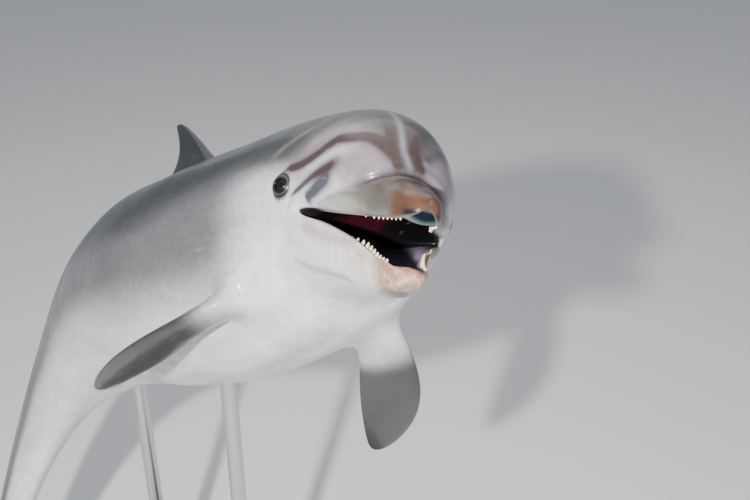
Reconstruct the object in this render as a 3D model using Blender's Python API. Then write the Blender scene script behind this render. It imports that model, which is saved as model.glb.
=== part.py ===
"""A bottlenose dolphin at life size, still, as a museum model on a plain stand.

The body is made straight first. A cage of rings is grown by extrusion from the corners of the mouth
back to the flukes and forward into the two jaws, the fins grow out of its faces, and it is subdivided
once. Plane cuts then part it into its named nodes, and last each point is carried onto the bent spine.

A place on the straight body is (back, left, up) in metres: how far back from the tip of the upper jaw,
how far to the animal's left of its midline, and how far above the level of its eyes.
"""
import math

import bmesh
import bpy
from mathutils import Matrix, Quaternion, Vector

# ---------------------------------------------------------------- driving dimensions (metres, degrees)
EYE_BACK = 0.33                 # from the tip of the upper jaw to the eyes
EYE_APART = 0.137               # from the midline to the middle of an eyeball
EYE_RADIUS = 0.0135
GAPE = 14.0                     # how far the lower jaw hangs open
JAW_HINGE = (0.31, -0.040)      # back, up
BETWEEN_JAWS = -0.052           # a height between the middles of the two jaws
CORNER_BACK = 0.275             # the corners of the mouth
CUT = 0.0003                    # the gap between neighbouring solids

HEAD_PLACE = (-0.005, -0.525, 1.740)            # the middle between the eyes
HEAD_HEADING, HEAD_PITCH, HEAD_ROLL = -23.6, 33.9, -22.9
# each stretch of the spine: from, to (back), then how it rolls, pitches and yaws along the way
SPINE = [(0.40, 0.66, 2.0, -16.0, 19.0), (0.66, 1.10, -2.0, 11.0, 0.0), (1.10, 1.65, 0.0, -33.0, -1.0),
         (1.65, 2.20, -2.0, -58.0, 2.0), (2.20, 2.34, 0.0, 24.0, 0.0)]
SPINE_STEP = 0.01

COLUMNS = 20                    # points in one ring of the cage; 0 is on the back, 10 on the belly
LIP = 6                         # the column of the lip, on each side
CROSSING = 8                    # edges across the mouth, from lip to lip
FLAT_ENOUGH = 3.5               # degrees between faces that are joined into one
SHRINK = 1.012                  # what a subdivided ring of this many points falls short by

# each outline is a list of (back, value) that a smooth curve runs through
TOP = [(0.0, -0.031), (0.02, -0.013), (0.05, 0.000), (0.085, 0.009), (0.105, 0.016), (0.114, 0.036),
       (0.133, 0.068), (0.160, 0.100), (0.203, 0.128), (0.265, 0.150), (0.34, 0.162), (0.45, 0.172),
       (0.60, 0.189), (0.90, 0.215), (1.10, 0.215), (1.40, 0.185), (1.70, 0.125), (1.95, 0.086),
       (2.15, 0.058), (2.30, 0.034), (2.40, 0.016), (2.46, 0.006)]
BOTTOM = [(0.0, -0.078), (0.03, -0.092), (0.08, -0.105), (0.14, -0.119), (0.20, -0.133), (0.275, -0.149),
          (0.33, -0.163), (0.45, -0.202), (0.60, -0.230), (0.90, -0.255), (1.10, -0.257), (1.40, -0.232),
          (1.70, -0.175), (1.95, -0.126), (2.15, -0.095), (2.30, -0.068), (2.40, -0.048), (2.46, -0.036)]
HALF_WIDTH = [(0.0, 0.022), (0.02, 0.029), (0.05, 0.037), (0.085, 0.046), (0.105, 0.053), (0.14, 0.079),
              (0.18, 0.100), (0.23, 0.117), (0.275, 0.128), (0.33, 0.141), (0.45, 0.175), (0.60, 0.205),
              (0.90, 0.230), (1.10, 0.220), (1.40, 0.180), (1.70, 0.110), (1.95, 0.065), (2.15, 0.042),
              (2.30, 0.034), (2.40, 0.026), (2.46, 0.014)]
WIDEST_UP = [(0.0, -0.046), (0.09, -0.044), (0.13, -0.022), (0.18, -0.004), (0.33, -0.005),
             (0.60, -0.025), (2.10, -0.020), (2.46, -0.016)]
LIP_UP = [(0.0, -0.051), (0.05, -0.052), (0.11, -0.050), (0.17, -0.047), (0.22, -0.043),
          (CORNER_BACK, -0.036), (0.34, -0.050), (0.60, -0.085), (2.46, -0.03)]

HEAD_RINGS = [0.300, 0.330, 0.360, 0.405, 0.455]
FLIPPER_RINGS = [0.505, 0.570, 0.635]
CHEST_RINGS = [0.73, 0.86]
FIN_RINGS = [0.97, 1.08, 1.20, 1.31]
TAIL_RINGS = [1.42, 1.54, 1.66, 1.78, 1.89, 1.99, 2.09, 2.18]
FLUKE_RINGS = [2.26, 2.33, 2.40, 2.452]
UPPER_RINGS = [0.235, 0.190, 0.155, 0.130, 0.116, 0.105, 0.085, 0.050, 0.022]
LOWER_RINGS = [0.235, 0.190, 0.145, 0.100, 0.055, 0.018]
# how much of the gape the lower lip follows: all of it at the tip, and none at the corner, where it stretches
LIP_FOLLOWS = [(0.018, 1.0), (0.055, 0.92), (0.10, 0.68), (0.145, 0.40), (0.19, 0.16), (0.235, 0.07),
               (CORNER_BACK, 0.0)]

# ---------------------------------------------------------------- curves and the bent spine


def through(points, x):
    """The value at x of a smooth curve through points, a list of (x, value)."""
    if x <= points[0][0]:
        return points[0][1]
    for i in range(len(points) - 1):
        (x0, y0), (x1, y1) = points[i], points[i + 1]
        if x <= x1:
            slopes = []
            for j in (i, i + 1):
                if 0 < j < len(points) - 1:
                    before = (points[j][1] - points[j - 1][1]) / (points[j][0] - points[j - 1][0])
                    after = (points[j + 1][1] - points[j][1]) / (points[j + 1][0] - points[j][0])
                    slopes.append(0.0 if before * after <= 0 else 2 * before * after / (before + after))
                else:
                    slopes.append((y1 - y0) / (x1 - x0))
            t, span = (x - x0) / (x1 - x0), x1 - x0
            return (y0 * (1 + 2 * t) * (1 - t) ** 2 + slopes[0] * span * t * (1 - t) ** 2
                    + y1 * t * t * (3 - 2 * t) + slopes[1] * span * t * t * (t - 1))
    return points[-1][1]


def ease(low, high, x):
    """0 up to low, 1 from high on, and a smooth rise between them."""
    t = min(max((x - low) / (high - low), 0.0), 1.0)
    return t * t * (3 - 2 * t)


def head_turn():
    """The head's axes in the world, as the columns forward, left and up."""
    heading, pitch, roll = (math.radians(a) for a in (HEAD_HEADING, HEAD_PITCH, HEAD_ROLL))
    forward = Vector((math.sin(heading) * math.cos(pitch), -math.cos(heading) * math.cos(pitch),
                      math.sin(pitch)))
    left = Vector((0, 0, 1)).cross(forward).normalized()
    left.rotate(Quaternion(forward, roll))
    return Matrix((forward, left, forward.cross(left))).transposed()


def spine_frames():
    """(back, place, axes) for each step down the spine, from the head to the end of the tail."""
    place, axes, back = Vector(HEAD_PLACE), head_turn(), EYE_BACK
    frames = [(back, place.copy(), axes.copy())]
    while back < 2.6:
        middle = back + SPINE_STEP / 2
        for start, end, roll, pitch, yaw in SPINE:
            if start <= middle < end:
                share = math.radians(SPINE_STEP / (end - start))
                turn = Vector((roll, pitch, yaw)) * share
                axes = axes @ Quaternion(turn.normalized(), turn.length).to_matrix()
        place = place - axes.col[0] * SPINE_STEP
        back += SPINE_STEP
        frames.append((back, place.copy(), axes.copy()))
    return frames


FRAMES = spine_frames()


def spine_at(back):
    """The place and axes of the spine at one station; the head in front of it is rigid."""
    if back <= EYE_BACK:
        place, axes = FRAMES[0][1:]
        return place + axes.col[0] * (EYE_BACK - back), axes
    step = min((back - EYE_BACK) / SPINE_STEP, len(FRAMES) - 1.001)
    i, t = int(step), step - int(step)
    (_, place0, axes0), (_, place1, axes1) = FRAMES[i], FRAMES[i + 1]
    turn = axes0.to_quaternion().slerp(axes1.to_quaternion(), t)
    return place0.lerp(place1, t), turn.to_matrix()


def bent(point):
    """A place on the straight body, carried onto the bent spine."""
    place, axes = spine_at(point[0])
    return place + axes.col[1] * point[1] + axes.col[2] * point[2]


def held(point, station):
    """The same for a fin, which stays as stiff as its root at one station."""
    place, axes = spine_at(station)
    return place + axes @ Vector((station - point[0], point[1], point[2]))


# ---------------------------------------------------------------- sections of the body


def rounding(back):
    """The superellipse exponent of a section: near 2 is an ellipse, more is boxier."""
    return 2.0 + 0.35 * ease(0.16, 0.05, back) + 0.12 * ease(0.20, 0.30, back) * ease(0.60, 0.45, back)


def on_section(back, angle):
    """(left, up) of the section's outline at an angle down from the back."""
    power = 2.0 / rounding(back)
    side, rise = math.sin(angle), math.cos(angle)
    widest = through(WIDEST_UP, back)
    reach = through(TOP, back) - widest if rise > 0 else widest - through(BOTTOM, back)
    left = through(HALF_WIDTH, back) * math.copysign(abs(side) ** power, side)
    return left, widest + reach * math.copysign(abs(rise) ** power, rise)


def lip_angle(back):
    """The angle at which a section crosses the line of the lips."""
    widest, lip = through(WIDEST_UP, back), through(LIP_UP, back)
    if lip >= widest:
        share = (lip - widest) / (through(TOP, back) - widest)
        return math.acos(min(1.0, share) ** (rounding(back) / 2))
    share = (widest - lip) / (widest - through(BOTTOM, back))
    return math.pi / 2 + math.asin(min(1.0, share) ** (rounding(back) / 2))


def column_angle(back, column):
    """The angle of a column: even steps on the trunk, and gathered towards the lips on the head."""
    turn = 1 if column <= COLUMNS // 2 else -1
    near = column if turn == 1 else COLUMNS - column
    even = 2 * math.pi * near / COLUMNS
    lip = lip_angle(back)
    if near <= LIP:
        share = near / LIP
        gathered = lip * (1 - (1 - share) ** 1.25)
    else:
        share = (near - LIP) / (COLUMNS // 2 - LIP)
        gathered = lip + (math.pi - lip) * share ** 1.25
    angle = gathered + (even - gathered) * ease(0.30, 0.48, back)
    if near == 1:
        angle *= 1 - 0.55 * ease(0.88, 0.97, back) * ease(1.40, 1.31, back)
    return turn * angle


def skin_point(back, column):
    """A cage point on the body, pushed out a little because subdivision pulls it in."""
    left, up = on_section(back, column_angle(back, column))
    widest = through(WIDEST_UP, back)
    return Vector((back, left * SHRINK, widest + (up - widest) * SHRINK))


def opened(point, share):
    """A point of the lower jaw, swung down about the hinge by its share of the gape."""
    angle = math.radians(GAPE) * share
    back, up = point[0] - JAW_HINGE[0], point[2] - JAW_HINGE[1]
    return Vector((JAW_HINGE[0] + back * math.cos(angle) - up * math.sin(angle), point[1],
                   JAW_HINGE[1] + back * math.sin(angle) + up * math.cos(angle)))


def lowness(column):
    """0 above the lips, 1 on the underside."""
    return ease(LIP - 0.6, COLUMNS // 2 - 1, min(column, COLUMNS - column))


def throat_share(back, column):
    """How much of the gape the skin behind the mouth follows."""
    return ease(0.47, CORNER_BACK, back) * lowness(column)


def jaw_share(back, low):
    """How much of the gape a point of the lower jaw follows: all of it low down, less at the lip."""
    lip = through(LIP_FOLLOWS, back)
    return lip + (1 - lip) * low


# ---------------------------------------------------------------- growing the cage


def grow(bm, loop, closed=True):
    """Extrudes a loop of vertices once, and returns the new loop in the same order."""
    pairs = zip(loop, loop[1:] + loop[:1]) if closed else zip(loop, loop[1:])
    edges = [next(e for e in a.link_edges if e.other_vert(a) is b) for a, b in pairs]
    new = bmesh.ops.extrude_edge_only(bm, edges=edges)["geom"]
    fresh = {v for v in new if isinstance(v, bmesh.types.BMVert)}
    return [next(e.other_vert(v) for e in v.link_edges if e.other_vert(v) in fresh) for v in loop]


def cap(bm, loop, centre, steps):
    """Closes a ring with smaller rings towards centre; steps are (size, how far forward)."""
    middle = sum((v.co for v in loop), Vector()) / len(loop)
    first = [v.co - middle for v in loop]
    for size, forward in steps:
        loop = grow(bm, loop)
        for v, offset in zip(loop, first):
            v.co = middle.lerp(centre, forward) + offset * size
    bm.faces.new(loop)


def mouth_point(back, share, upper):
    """A point inside the mouth, a trough behind the swollen tip of each jaw: share runs from -1 at the
    right lip to 1 at the left one."""
    left, lip = on_section(back, lip_angle(back))
    trough = ease(0.95, 0.35, abs(share)) * ease(0.030, 0.085, back)
    knob = 0.009 * (1 - share * share) * ease(0.060, 0.020, back)
    depth = (0.022 if upper else 0.038) * trough - knob
    left = left * share * (0.96 - 0.07 * trough)
    return Vector((back, left, lip + (depth if upper else -depth)))


def cage(bm):
    """The whole body as one closed cage; returns its rings behind the mouth, by station."""
    rings = {}
    ring = bmesh.ops.create_circle(bm, segments=COLUMNS, radius=1)["verts"]
    stations = [CORNER_BACK] + HEAD_RINGS + FLIPPER_RINGS + CHEST_RINGS + FIN_RINGS + TAIL_RINGS
    for back in stations + FLUKE_RINGS:
        if back != CORNER_BACK:
            ring = grow(bm, ring)
        for column, v in enumerate(ring):
            v.co = opened(skin_point(back, column), throat_share(back, column))
        rings[back] = ring
    cap(bm, ring, Vector((2.475, 0, -0.018)), [(0.55, 0.7), (0.2, 1.0)])

    corner = rings[CORNER_BACK]
    inner, end = [], corner[LIP]
    for _ in range(CROSSING - 1):
        end = next(g for g in bmesh.ops.extrude_vert_indiv(bm, verts=[end])["verts"])
        inner.append(end)
    bm.edges.new((end, corner[-LIP]))
    for i, v in enumerate(inner):
        share = 1 - 2 * (i + 1) / CROSSING
        deep = CORNER_BACK + 0.075 * math.sqrt(1 - share * share)
        v.co = opened((deep, corner[LIP].co[1] * share * 0.9, -0.050), 0.5)

    sides = list(range(-LIP, LIP + 1))
    upper = [corner[k] for k in sides] + inner
    for back in UPPER_RINGS:
        upper = grow(bm, upper)
        for k, v in zip(sides, upper):
            v.co = skin_point(back, k % COLUMNS)
        for i, v in enumerate(upper[len(sides):]):
            v.co = mouth_point(back, 1 - 2 * (i + 1) / CROSSING, True)
    cap(bm, upper, Vector((-0.002, 0, -0.038)), [(0.72, 0.65), (0.3, 1.0)])

    sides = list(range(LIP, COLUMNS - LIP + 1))
    lower = [corner[k] for k in sides] + inner[::-1]
    for back in LOWER_RINGS:
        lower = grow(bm, lower)
        for k, v in zip(sides, lower):
            v.co = opened(skin_point(back, k), jaw_share(back, lowness(k)))
        for i, v in enumerate(lower[len(sides):]):
            across = 2 * (i + 1) / CROSSING - 1
            v.co = opened(mouth_point(back, across, False), jaw_share(back, 1 - abs(across) ** 3))
    cap(bm, lower, opened((-0.008, 0, -0.060), 1.0), [(0.72, 0.65), (0.3, 1.0)])
    return rings


# ---------------------------------------------------------------- fins
# each fin: the cage region it grows from, its root, its axes on the straight body, and its outline.
# LEADING and TRAILING are (share of the span, how far back along the chord); THICK is the half thickness.

DORSAL = dict(
    rings=FIN_RINGS, columns=(-1, 0, 1), station=1.14, root=(1.14, 0.0, 0.203), span=0.205,
    out=(0.0, 0.0, 1.0), chord=(1.0, 0.0, 0.0),
    leading=[(0.0, -0.175), (0.15, -0.110), (0.4, -0.030), (0.7, 0.064), (0.9, 0.134), (1.0, 0.180)],
    trailing=[(0.0, 0.170), (0.15, 0.140), (0.4, 0.120), (0.7, 0.142), (0.9, 0.184), (1.0, 0.202)],
    thick=[(0.0, 0.034), (0.15, 0.022), (0.5, 0.013), (0.9, 0.006), (1.0, 0.003)])
FLIPPER = dict(
    leading=[(0.0, -0.066), (0.2, -0.074), (0.45, -0.070), (0.7, -0.048), (0.9, -0.014), (1.0, 0.012)],
    trailing=[(0.0, 0.064), (0.2, 0.062), (0.45, 0.062), (0.7, 0.054), (0.9, 0.040), (1.0, 0.026)],
    thick=[(0.0, 0.026), (0.2, 0.019), (0.5, 0.013), (0.9, 0.007), (1.0, 0.004)],
    rings=FLIPPER_RINGS, station=0.57, span=0.385, bow=0.030)
LEFT_FLIPPER = dict(FLIPPER, columns=(7, 8), root=(0.570, 0.150, -0.170),
                    out=(0.70, 0.51, -0.50), chord=(0.50, -0.86, -0.10), away=(0.0, 0.7, -0.7))
RIGHT_FLIPPER = dict(FLIPPER, columns=(-7, -8), root=(0.570, -0.150, -0.170),
                     out=(0.85, -0.345, -0.41), chord=(0.50, 0.80, 0.05), away=(0.0, -0.7, -0.7))
FLUKE = dict(
    leading=[(0.0, -0.105), (0.15, -0.085), (0.35, -0.040), (0.6, 0.025), (0.85, 0.095), (1.0, 0.150)],
    trailing=[(0.0, 0.092), (0.15, 0.112), (0.35, 0.124), (0.6, 0.126), (0.85, 0.140), (1.0, 0.164)],
    thick=[(0.0, 0.026), (0.15, 0.017), (0.5, 0.010), (0.9, 0.005), (1.0, 0.003)],
    rings=FLUKE_RINGS, station=2.36, span=0.290)
LEFT_FLUKE = dict(FLUKE, columns=(4, 5, 6), root=(2.36, 0.018, -0.018), out=(0, 1, 0), chord=(1, 0, 0))
RIGHT_FLUKE = dict(FLUKE, columns=(-4, -5, -6), root=(2.36, -0.018, -0.018), out=(0, -1, 0),
                   chord=(1, 0, 0))
FINS = {"dorsal_fin": DORSAL, "left_flipper": LEFT_FLIPPER, "right_flipper": RIGHT_FLIPPER,
        "left_fluke": LEFT_FLUKE, "right_fluke": RIGHT_FLUKE}
FAN = 9                         # the number that marks the faces of a closed root
FIN_STEPS = (0.12, 0.36, 0.62, 0.85, 0.975)


def fin_rim(fin):
    """The rim of a fin's region, as (ring, column, share of the chord, side) in order around it."""
    rings, columns = fin["rings"], fin["columns"]
    first, last, inner = columns[0], columns[-1], columns[1:-1]
    shares = [i / (len(rings) - 1) for i in range(len(rings))]
    if inner:
        shares[0], shares[-1] = 0.07, 0.90
    rim = [(r, first, s, 1) for r, s in zip(rings, shares)]
    rim += [(rings[-1], c, 1.0, 0) for c in inner]
    rim += [(r, last, s, -1) for r, s in zip(rings[::-1], shares[::-1])]
    return rim + [(rings[0], c, 0.0, 0) for c in inner]


def fin_axes(fin):
    """The fin's axes on the straight body: out along its span, back along its chord, and its normal."""
    out = Vector(fin["out"]).normalized()
    chord = Vector(fin["chord"])
    chord = (chord - out * chord.dot(out)).normalized()
    return out, chord, out.cross(chord)


def fin_point(fin, share, chord_share, side, across):
    """A point of the fin's surface at a share of its span and of its chord.

    A flipper's root lies along the body, and it turns to its own axes within the first part of its span.
    across points from the rim's last column to its first, over the root."""
    out, chord, normal = fin_axes(fin)
    normal = normal * math.copysign(1.0, normal.dot(across))
    away = Vector(fin.get("away", out))
    turned = ease(-0.10, 0.50, share) if "away" in fin else 1.0
    chord = Vector((1.0, 0.0, 0.0)).lerp(chord, turned).normalized()
    normal = across.normalized().lerp(normal, turned).normalized()
    front, rear = through(fin["leading"], share), through(fin["trailing"], share)
    fullness = 1.0 if len(fin["columns"]) == 2 and chord_share in (0.0, 1.0) else 1.25
    edge = 0.42 if chord_share in (0.0, 1.0) else 1.0
    thick = through(fin["thick"], share) * side * fullness * edge
    place = Vector(fin["root"]) + out * fin["span"] * share
    place += away * fin.get("bow", 0.0) * math.sin(math.pi * share)
    return place + chord * (front + (rear - front) * chord_share) + normal * thick


def add_fins(bm, rings):
    """Grows each fin out of its region of the cage, and tags its faces with its number."""
    for number, fin in enumerate(FINS.values(), start=1):
        columns = [c % COLUMNS for c in fin["columns"]]
        region = [rings[r][c] for r in fin["rings"] for c in columns]
        faces = [f for f in bm.faces if all(v in region for v in f.verts)]
        bmesh.ops.delete(bm, geom=faces, context="FACES")
        for v in region:
            if v.is_valid and not v.link_faces:
                bm.verts.remove(v)
        rim = fin_rim(fin)
        loop = [rings[r][c % COLUMNS] for r, c, _, _ in rim]
        middle = rings[fin["rings"][1]]
        across = middle[columns[0]].co - middle[columns[-1]].co
        before = set(bm.faces)
        for share in FIN_STEPS:
            loop = grow(bm, loop)
            for v, (_, _, chord_share, side) in zip(loop, rim):
                v.co = fin_point(fin, share, chord_share, side, across)
        bm.faces.new(loop)
        for face in bm.faces:
            if face not in before:
                face.material_index = number


# ---------------------------------------------------------------- parting the body into its nodes


def face_outwards(bm):
    """Turns every face of a closed bmesh outwards."""
    bm.normal_update()
    bmesh.ops.recalc_face_normals(bm, faces=bm.faces)


def in_fixed_order(bm):
    """The same mesh with its vertices, edges and faces in a fixed order; the old one is freed.
    Extruding and cutting leave them in a different order on each run, and what follows depends on it."""
    places = sorted(bm.verts, key=lambda v: tuple(v.co))
    rank = {v: number for number, v in enumerate(places)}
    rows = []
    for face in bm.faces:
        row = [rank[v] for v in face.verts]
        first = row.index(min(row))
        rows.append((row[first:] + row[:first], face.material_index))
    ordered = bmesh.new()
    verts = [ordered.verts.new(v.co) for v in places]
    for row, tag in sorted(rows):
        ordered.faces.new([verts[number] for number in row]).material_index = tag
    bm.free()
    return ordered


def new_object(name, bm, finish=None):
    """A mesh object from a bmesh, shaded smooth."""
    mesh = bpy.data.meshes.new(name)
    bm.to_mesh(mesh)
    bm.free()
    mesh.shade_smooth()
    obj = bpy.data.objects.new(name, mesh)
    bpy.context.scene.collection.objects.link(obj)
    if finish:
        mesh.materials.clear()
        mesh.materials.append(finish)
    return obj


def smooth_body():
    """The straight body as a bmesh: the cage with its fins, subdivided once."""
    bm = bmesh.new()
    rings = cage(bm)
    add_fins(bm, rings)
    face_outwards(bm)
    obj = new_object("straight_body", in_fixed_order(bm))
    for _ in FINS:
        obj.data.materials.append(None)
    obj.data.materials.append(None)
    subdivision = obj.modifiers.new("rounding", "SUBSURF")
    subdivision.levels = subdivision.render_levels = 1
    graph = bpy.context.evaluated_depsgraph_get()
    smooth = bmesh.new()
    smooth.from_mesh(obj.evaluated_get(graph).to_mesh())
    bpy.data.objects.remove(obj)
    return in_fixed_order(smooth)


def open_loops(bm):
    """The open rims of a bmesh, each a list of its vertices in order."""
    left, loops = dict.fromkeys(e for e in bm.edges if e.is_boundary), []
    while left:
        edge, _ = left.popitem()
        loop = [edge.verts[0], edge.verts[1]]
        while loop[-1] is not loop[0]:
            edge = next(e for e in loop[-1].link_edges if e in left)
            del left[edge]
            loop.append(edge.other_vert(loop[-1]))
        loops.append(loop[:-1])
    return loops


def fan(bm, loop):
    """Closes a fin's root with a fan about its middle, the same from both sides."""
    middle = bm.verts.new(sum((v.co for v in loop), Vector()) / len(loop))
    for a, b in zip(loop, loop[1:] + loop[:1]):
        bm.faces.new((a, b, middle)).material_index = FAN
    return middle


def join_flat_faces(bm):
    """Joins faces that lie almost in one plane, but leaves the closed fin roots as they are."""
    fans = {e for f in bm.faces if f.material_index == FAN for e in f.edges}
    corners = {v for e in fans for v in e.verts}
    bmesh.ops.dissolve_limit(bm, angle_limit=math.radians(FLAT_ENOUGH),
                             verts=[v for v in bm.verts if v not in corners],
                             edges=[e for e in bm.edges if e not in fans])
    for face in bm.faces:
        face.material_index = 0


def body_length(body, front, rear):
    """The length of the body between two stations, without its fins, with its ends closed."""
    bm = body.copy()
    bmesh.ops.delete(bm, geom=[f for f in bm.faces if f.material_index], context="FACES")
    for loop in open_loops(bm):
        fan(bm, loop)
    for back, side in ((front, 1), (rear, -1)):
        if back is None:
            continue
        cut = bmesh.ops.bisect_plane(bm, geom=bm.verts[:] + bm.edges[:] + bm.faces[:], dist=1e-7,
                                     plane_co=(back + side * CUT / 2, 0, 0), plane_no=(-side, 0, 0),
                                     clear_outer=True)["geom_cut"]
        edges = [e for e in cut if isinstance(e, bmesh.types.BMEdge)]
        bmesh.ops.triangle_fill(bm, edges=edges, use_beauty=True, normal=(-side, 0, 0))
    return bm


def keep_jaw(bm, jaw):
    """Of the two jaws in front of the corners of the mouth, deletes the one that isn't wanted."""
    left = dict.fromkeys(bm.verts)
    while left:
        island, front = [], [left.popitem()[0]]
        while front:
            v = front.pop()
            island.append(v)
            others = [w for w in (e.other_vert(v) for e in v.link_edges) if w in left]
            for w in others:
                del left[w]
            front.extend(others)
        height = sum(v.co.z for v in island) / len(island)
        if (height > BETWEEN_JAWS) != (jaw == "upper"):
            bmesh.ops.delete(bm, geom=island, context="VERTS")


def fin_piece(body, number, fin):
    """One fin, with its root closed and drawn back by the gap."""
    bm = body.copy()
    bmesh.ops.delete(bm, geom=[f for f in bm.faces if f.material_index != number], context="FACES")
    loop = open_loops(bm)[0]
    roots = [v.co.copy() for v in loop]
    middle = fan(bm, loop)
    out = fin_axes(fin)[0]
    stiffness = {v: ease(0.0, 0.07, min((v.co - r).length for r in roots)) for v in bm.verts}
    stiffness[middle] = 0.0
    for v in loop + [middle]:
        v.co += out * CUT
    for v, share in stiffness.items():
        v.co = bent(v.co).lerp(held(v.co, fin["station"]), share)
    for face in bm.faces:
        face.material_index = 0
    return bm


# ---------------------------------------------------------------- materials

COLOURS = {"back_skin": ((0.16, 0.165, 0.18), 0.35), "head_skin": ((0.50, 0.47, 0.49), 0.32),
           "jaw_skin": ((0.66, 0.56, 0.54), 0.30), "fin_skin": ((0.10, 0.10, 0.115), 0.35),
           "eye": ((0.02, 0.018, 0.018), 0.08), "tongue": ((0.34, 0.20, 0.26), 0.35),
           "stand_paint": ((0.05, 0.05, 0.055), 0.45), "stand_steel": ((0.55, 0.56, 0.58), 0.28)}
METAL = ("stand_steel",)


def material(name):
    """The named finish, made once for each object that wears it."""
    colour, roughness = COLOURS[name]
    made = bpy.data.materials.new(name)
    made.use_nodes = True
    shader = made.node_tree.nodes["Principled BSDF"]
    shader.inputs["Base Color"].default_value = (*colour, 1.0)
    shader.inputs["Roughness"].default_value = roughness
    shader.inputs["Metallic"].default_value = 1.0 if name in METAL else 0.0
    return made


def boolean(obj, operation, other):
    """Adds an exact Boolean, and keeps its other object as a hidden guide."""
    modifier = obj.modifiers.new(other.name, "BOOLEAN")
    modifier.operation = operation
    modifier.solver = "EXACT"
    modifier.object = other
    other.hide_render = True
    other.display_type = "WIRE"


# ---------------------------------------------------------------- eyes, teeth and tongue

LOWER_TEETH = dict(count=18, front=0.040, rear=0.220, long=0.0085, wide=0.0032, upper=False)
UPPER_TEETH = dict(count=7, front=0.030, rear=0.104, long=0.0050, wide=0.0026, upper=True)
REAR_TEETH = dict(count=8, front=0.120, rear=0.210, long=0.0050, wide=0.0026, upper=True)
TOOTH_LINE = 0.86               # where the teeth stand, as a share of the way out to the lip
TEETH_SINK = 0.009              # how far the gum draws the rear teeth in, behind the lips
TONGUE_REST = (0.165, 0.0, -0.074)
TONGUE_SIZE = (0.085, 0.027, 0.012)


def eyeball(name, side, growth, finish=None):
    """An eyeball, or with growth the socket that holds it."""
    bm = bmesh.new()
    bmesh.ops.create_icosphere(bm, subdivisions=2, radius=EYE_RADIUS + growth)
    bmesh.ops.translate(bm, verts=bm.verts, vec=bent((EYE_BACK, side * EYE_APART, 0.0)))
    return new_object(name, bm, finish)


def teeth(name, row):
    """Both rows of one jaw's small cone teeth, as one guide that the jaw is joined with."""
    bm = bmesh.new()
    rise = -1 if row["upper"] else 1
    for side in (-1, 1):
        for i in range(row["count"]):
            back = row["front"] + (row["rear"] - row["front"]) * i / (row["count"] - 1)
            gum = mouth_point(back, side * TOOTH_LINE, row["upper"])
            gum.z -= rise * TEETH_SINK * ease(0.10, 0.16, back)
            share = jaw_share(back, 1 - TOOTH_LINE ** 3)
            length = row["long"] * (0.75 + 0.25 * math.sin(math.pi * (i + 1) / (row["count"] + 1)))
            cone = bmesh.ops.create_cone(bm, cap_ends=True, segments=4, radius1=row["wide"],
                                         radius2=0.0006, depth=length + 0.006)["verts"]
            for v in cone:
                up = rise * (v.co.z + (length - 0.006) / 2)
                point = gum + Vector((v.co.x, v.co.y - side * 0.12 * abs(up), up))
                v.co = bent(point if row["upper"] else opened(point, share))
    face_outwards(bm)
    return new_object(name, bm)


def tongue(name, growth, finish=None):
    """The tongue, or with growth the bed it lies in on the floor of the mouth."""
    bm = bmesh.new()
    bmesh.ops.create_uvsphere(bm, u_segments=12, v_segments=7, radius=1.0)
    for v in bm.verts:
        point = Vector(c * (size + growth) for c, size in zip(v.co, TONGUE_SIZE))
        v.co = bent(opened(Vector(TONGUE_REST) + point, 1.0))
    face_outwards(bm)
    return new_object(name, bm, finish)


# ---------------------------------------------------------------- the stand

PLATE_SIZE = (0.66, 1.00, 0.020)
PLATE_CORNER = 0.10
ROD_RADIUS = 0.019
ROD_STATIONS = {"stand_front_rod": 0.95, "stand_rear_rod": 1.42}
ROD_GRIP = 0.045                # how far below the spine a rod ends inside the body
SOCKET_RADIUS, SOCKET_HEIGHT = 0.036, 0.030


def plate():
    """The base plate: a flat slab with rounded corners, its underside at height 0."""
    bm = bmesh.new()
    bmesh.ops.create_cube(bm, size=1.0)
    bmesh.ops.scale(bm, verts=bm.verts, vec=PLATE_SIZE)
    bmesh.ops.translate(bm, verts=bm.verts, vec=(0, 0, PLATE_SIZE[2] / 2))
    upright = [e for e in bm.edges if abs(e.verts[0].co.z - e.verts[1].co.z) > PLATE_SIZE[2] / 2]
    bmesh.ops.bevel(bm, geom=upright, offset=PLATE_CORNER, offset_type="OFFSET", segments=4, profile=0.5,
                    affect="EDGES", material=-1)
    top = [e for e in bm.edges if min(v.co.z for v in e.verts) > PLATE_SIZE[2] / 2]
    bmesh.ops.bevel(bm, geom=top, offset=0.004, offset_type="OFFSET", segments=1, profile=0.5,
                    affect="EDGES", material=-1)
    obj = new_object("stand_base", bm, material("stand_paint"))
    obj.data.set_sharp_from_angle(angle=math.radians(30))


def upright_round(name, centre, bottom, top, radius, finish=None):
    """A plain vertical cylinder between two heights."""
    bm = bmesh.new()
    bmesh.ops.create_cone(bm, cap_ends=True, segments=16, radius1=radius, radius2=radius,
                          depth=top - bottom)
    bmesh.ops.translate(bm, verts=bm.verts, vec=(centre[0], centre[1], (top + bottom) / 2))
    obj = new_object(name, bm, finish)
    obj.data.set_sharp_from_angle(angle=math.radians(30))
    return obj


def stand():
    """The base plate, and two rods in sockets; returns a bore for each rod, by its station."""
    plate()
    bores = {}
    for name, station in ROD_STATIONS.items():
        place = bent((station, 0.0, through(WIDEST_UP, station)))
        top, floor = place.z - ROD_GRIP, PLATE_SIZE[2] + CUT
        upright_round(name, place, floor, top, ROD_RADIUS, material("stand_steel"))
        socket = upright_round(name.replace("rod", "socket"), place, floor, floor + SOCKET_HEIGHT,
                               SOCKET_RADIUS, material("stand_paint"))
        hole = upright_round(name + "_hole", place, 0.0, floor + 2 * SOCKET_HEIGHT, ROD_RADIUS + CUT)
        boolean(socket, "DIFFERENCE", hole)
        bores[station] = upright_round(name + "_bore", place, floor, top + CUT, ROD_RADIUS + CUT)
    return bores


# ---------------------------------------------------------------- the whole model

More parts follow.
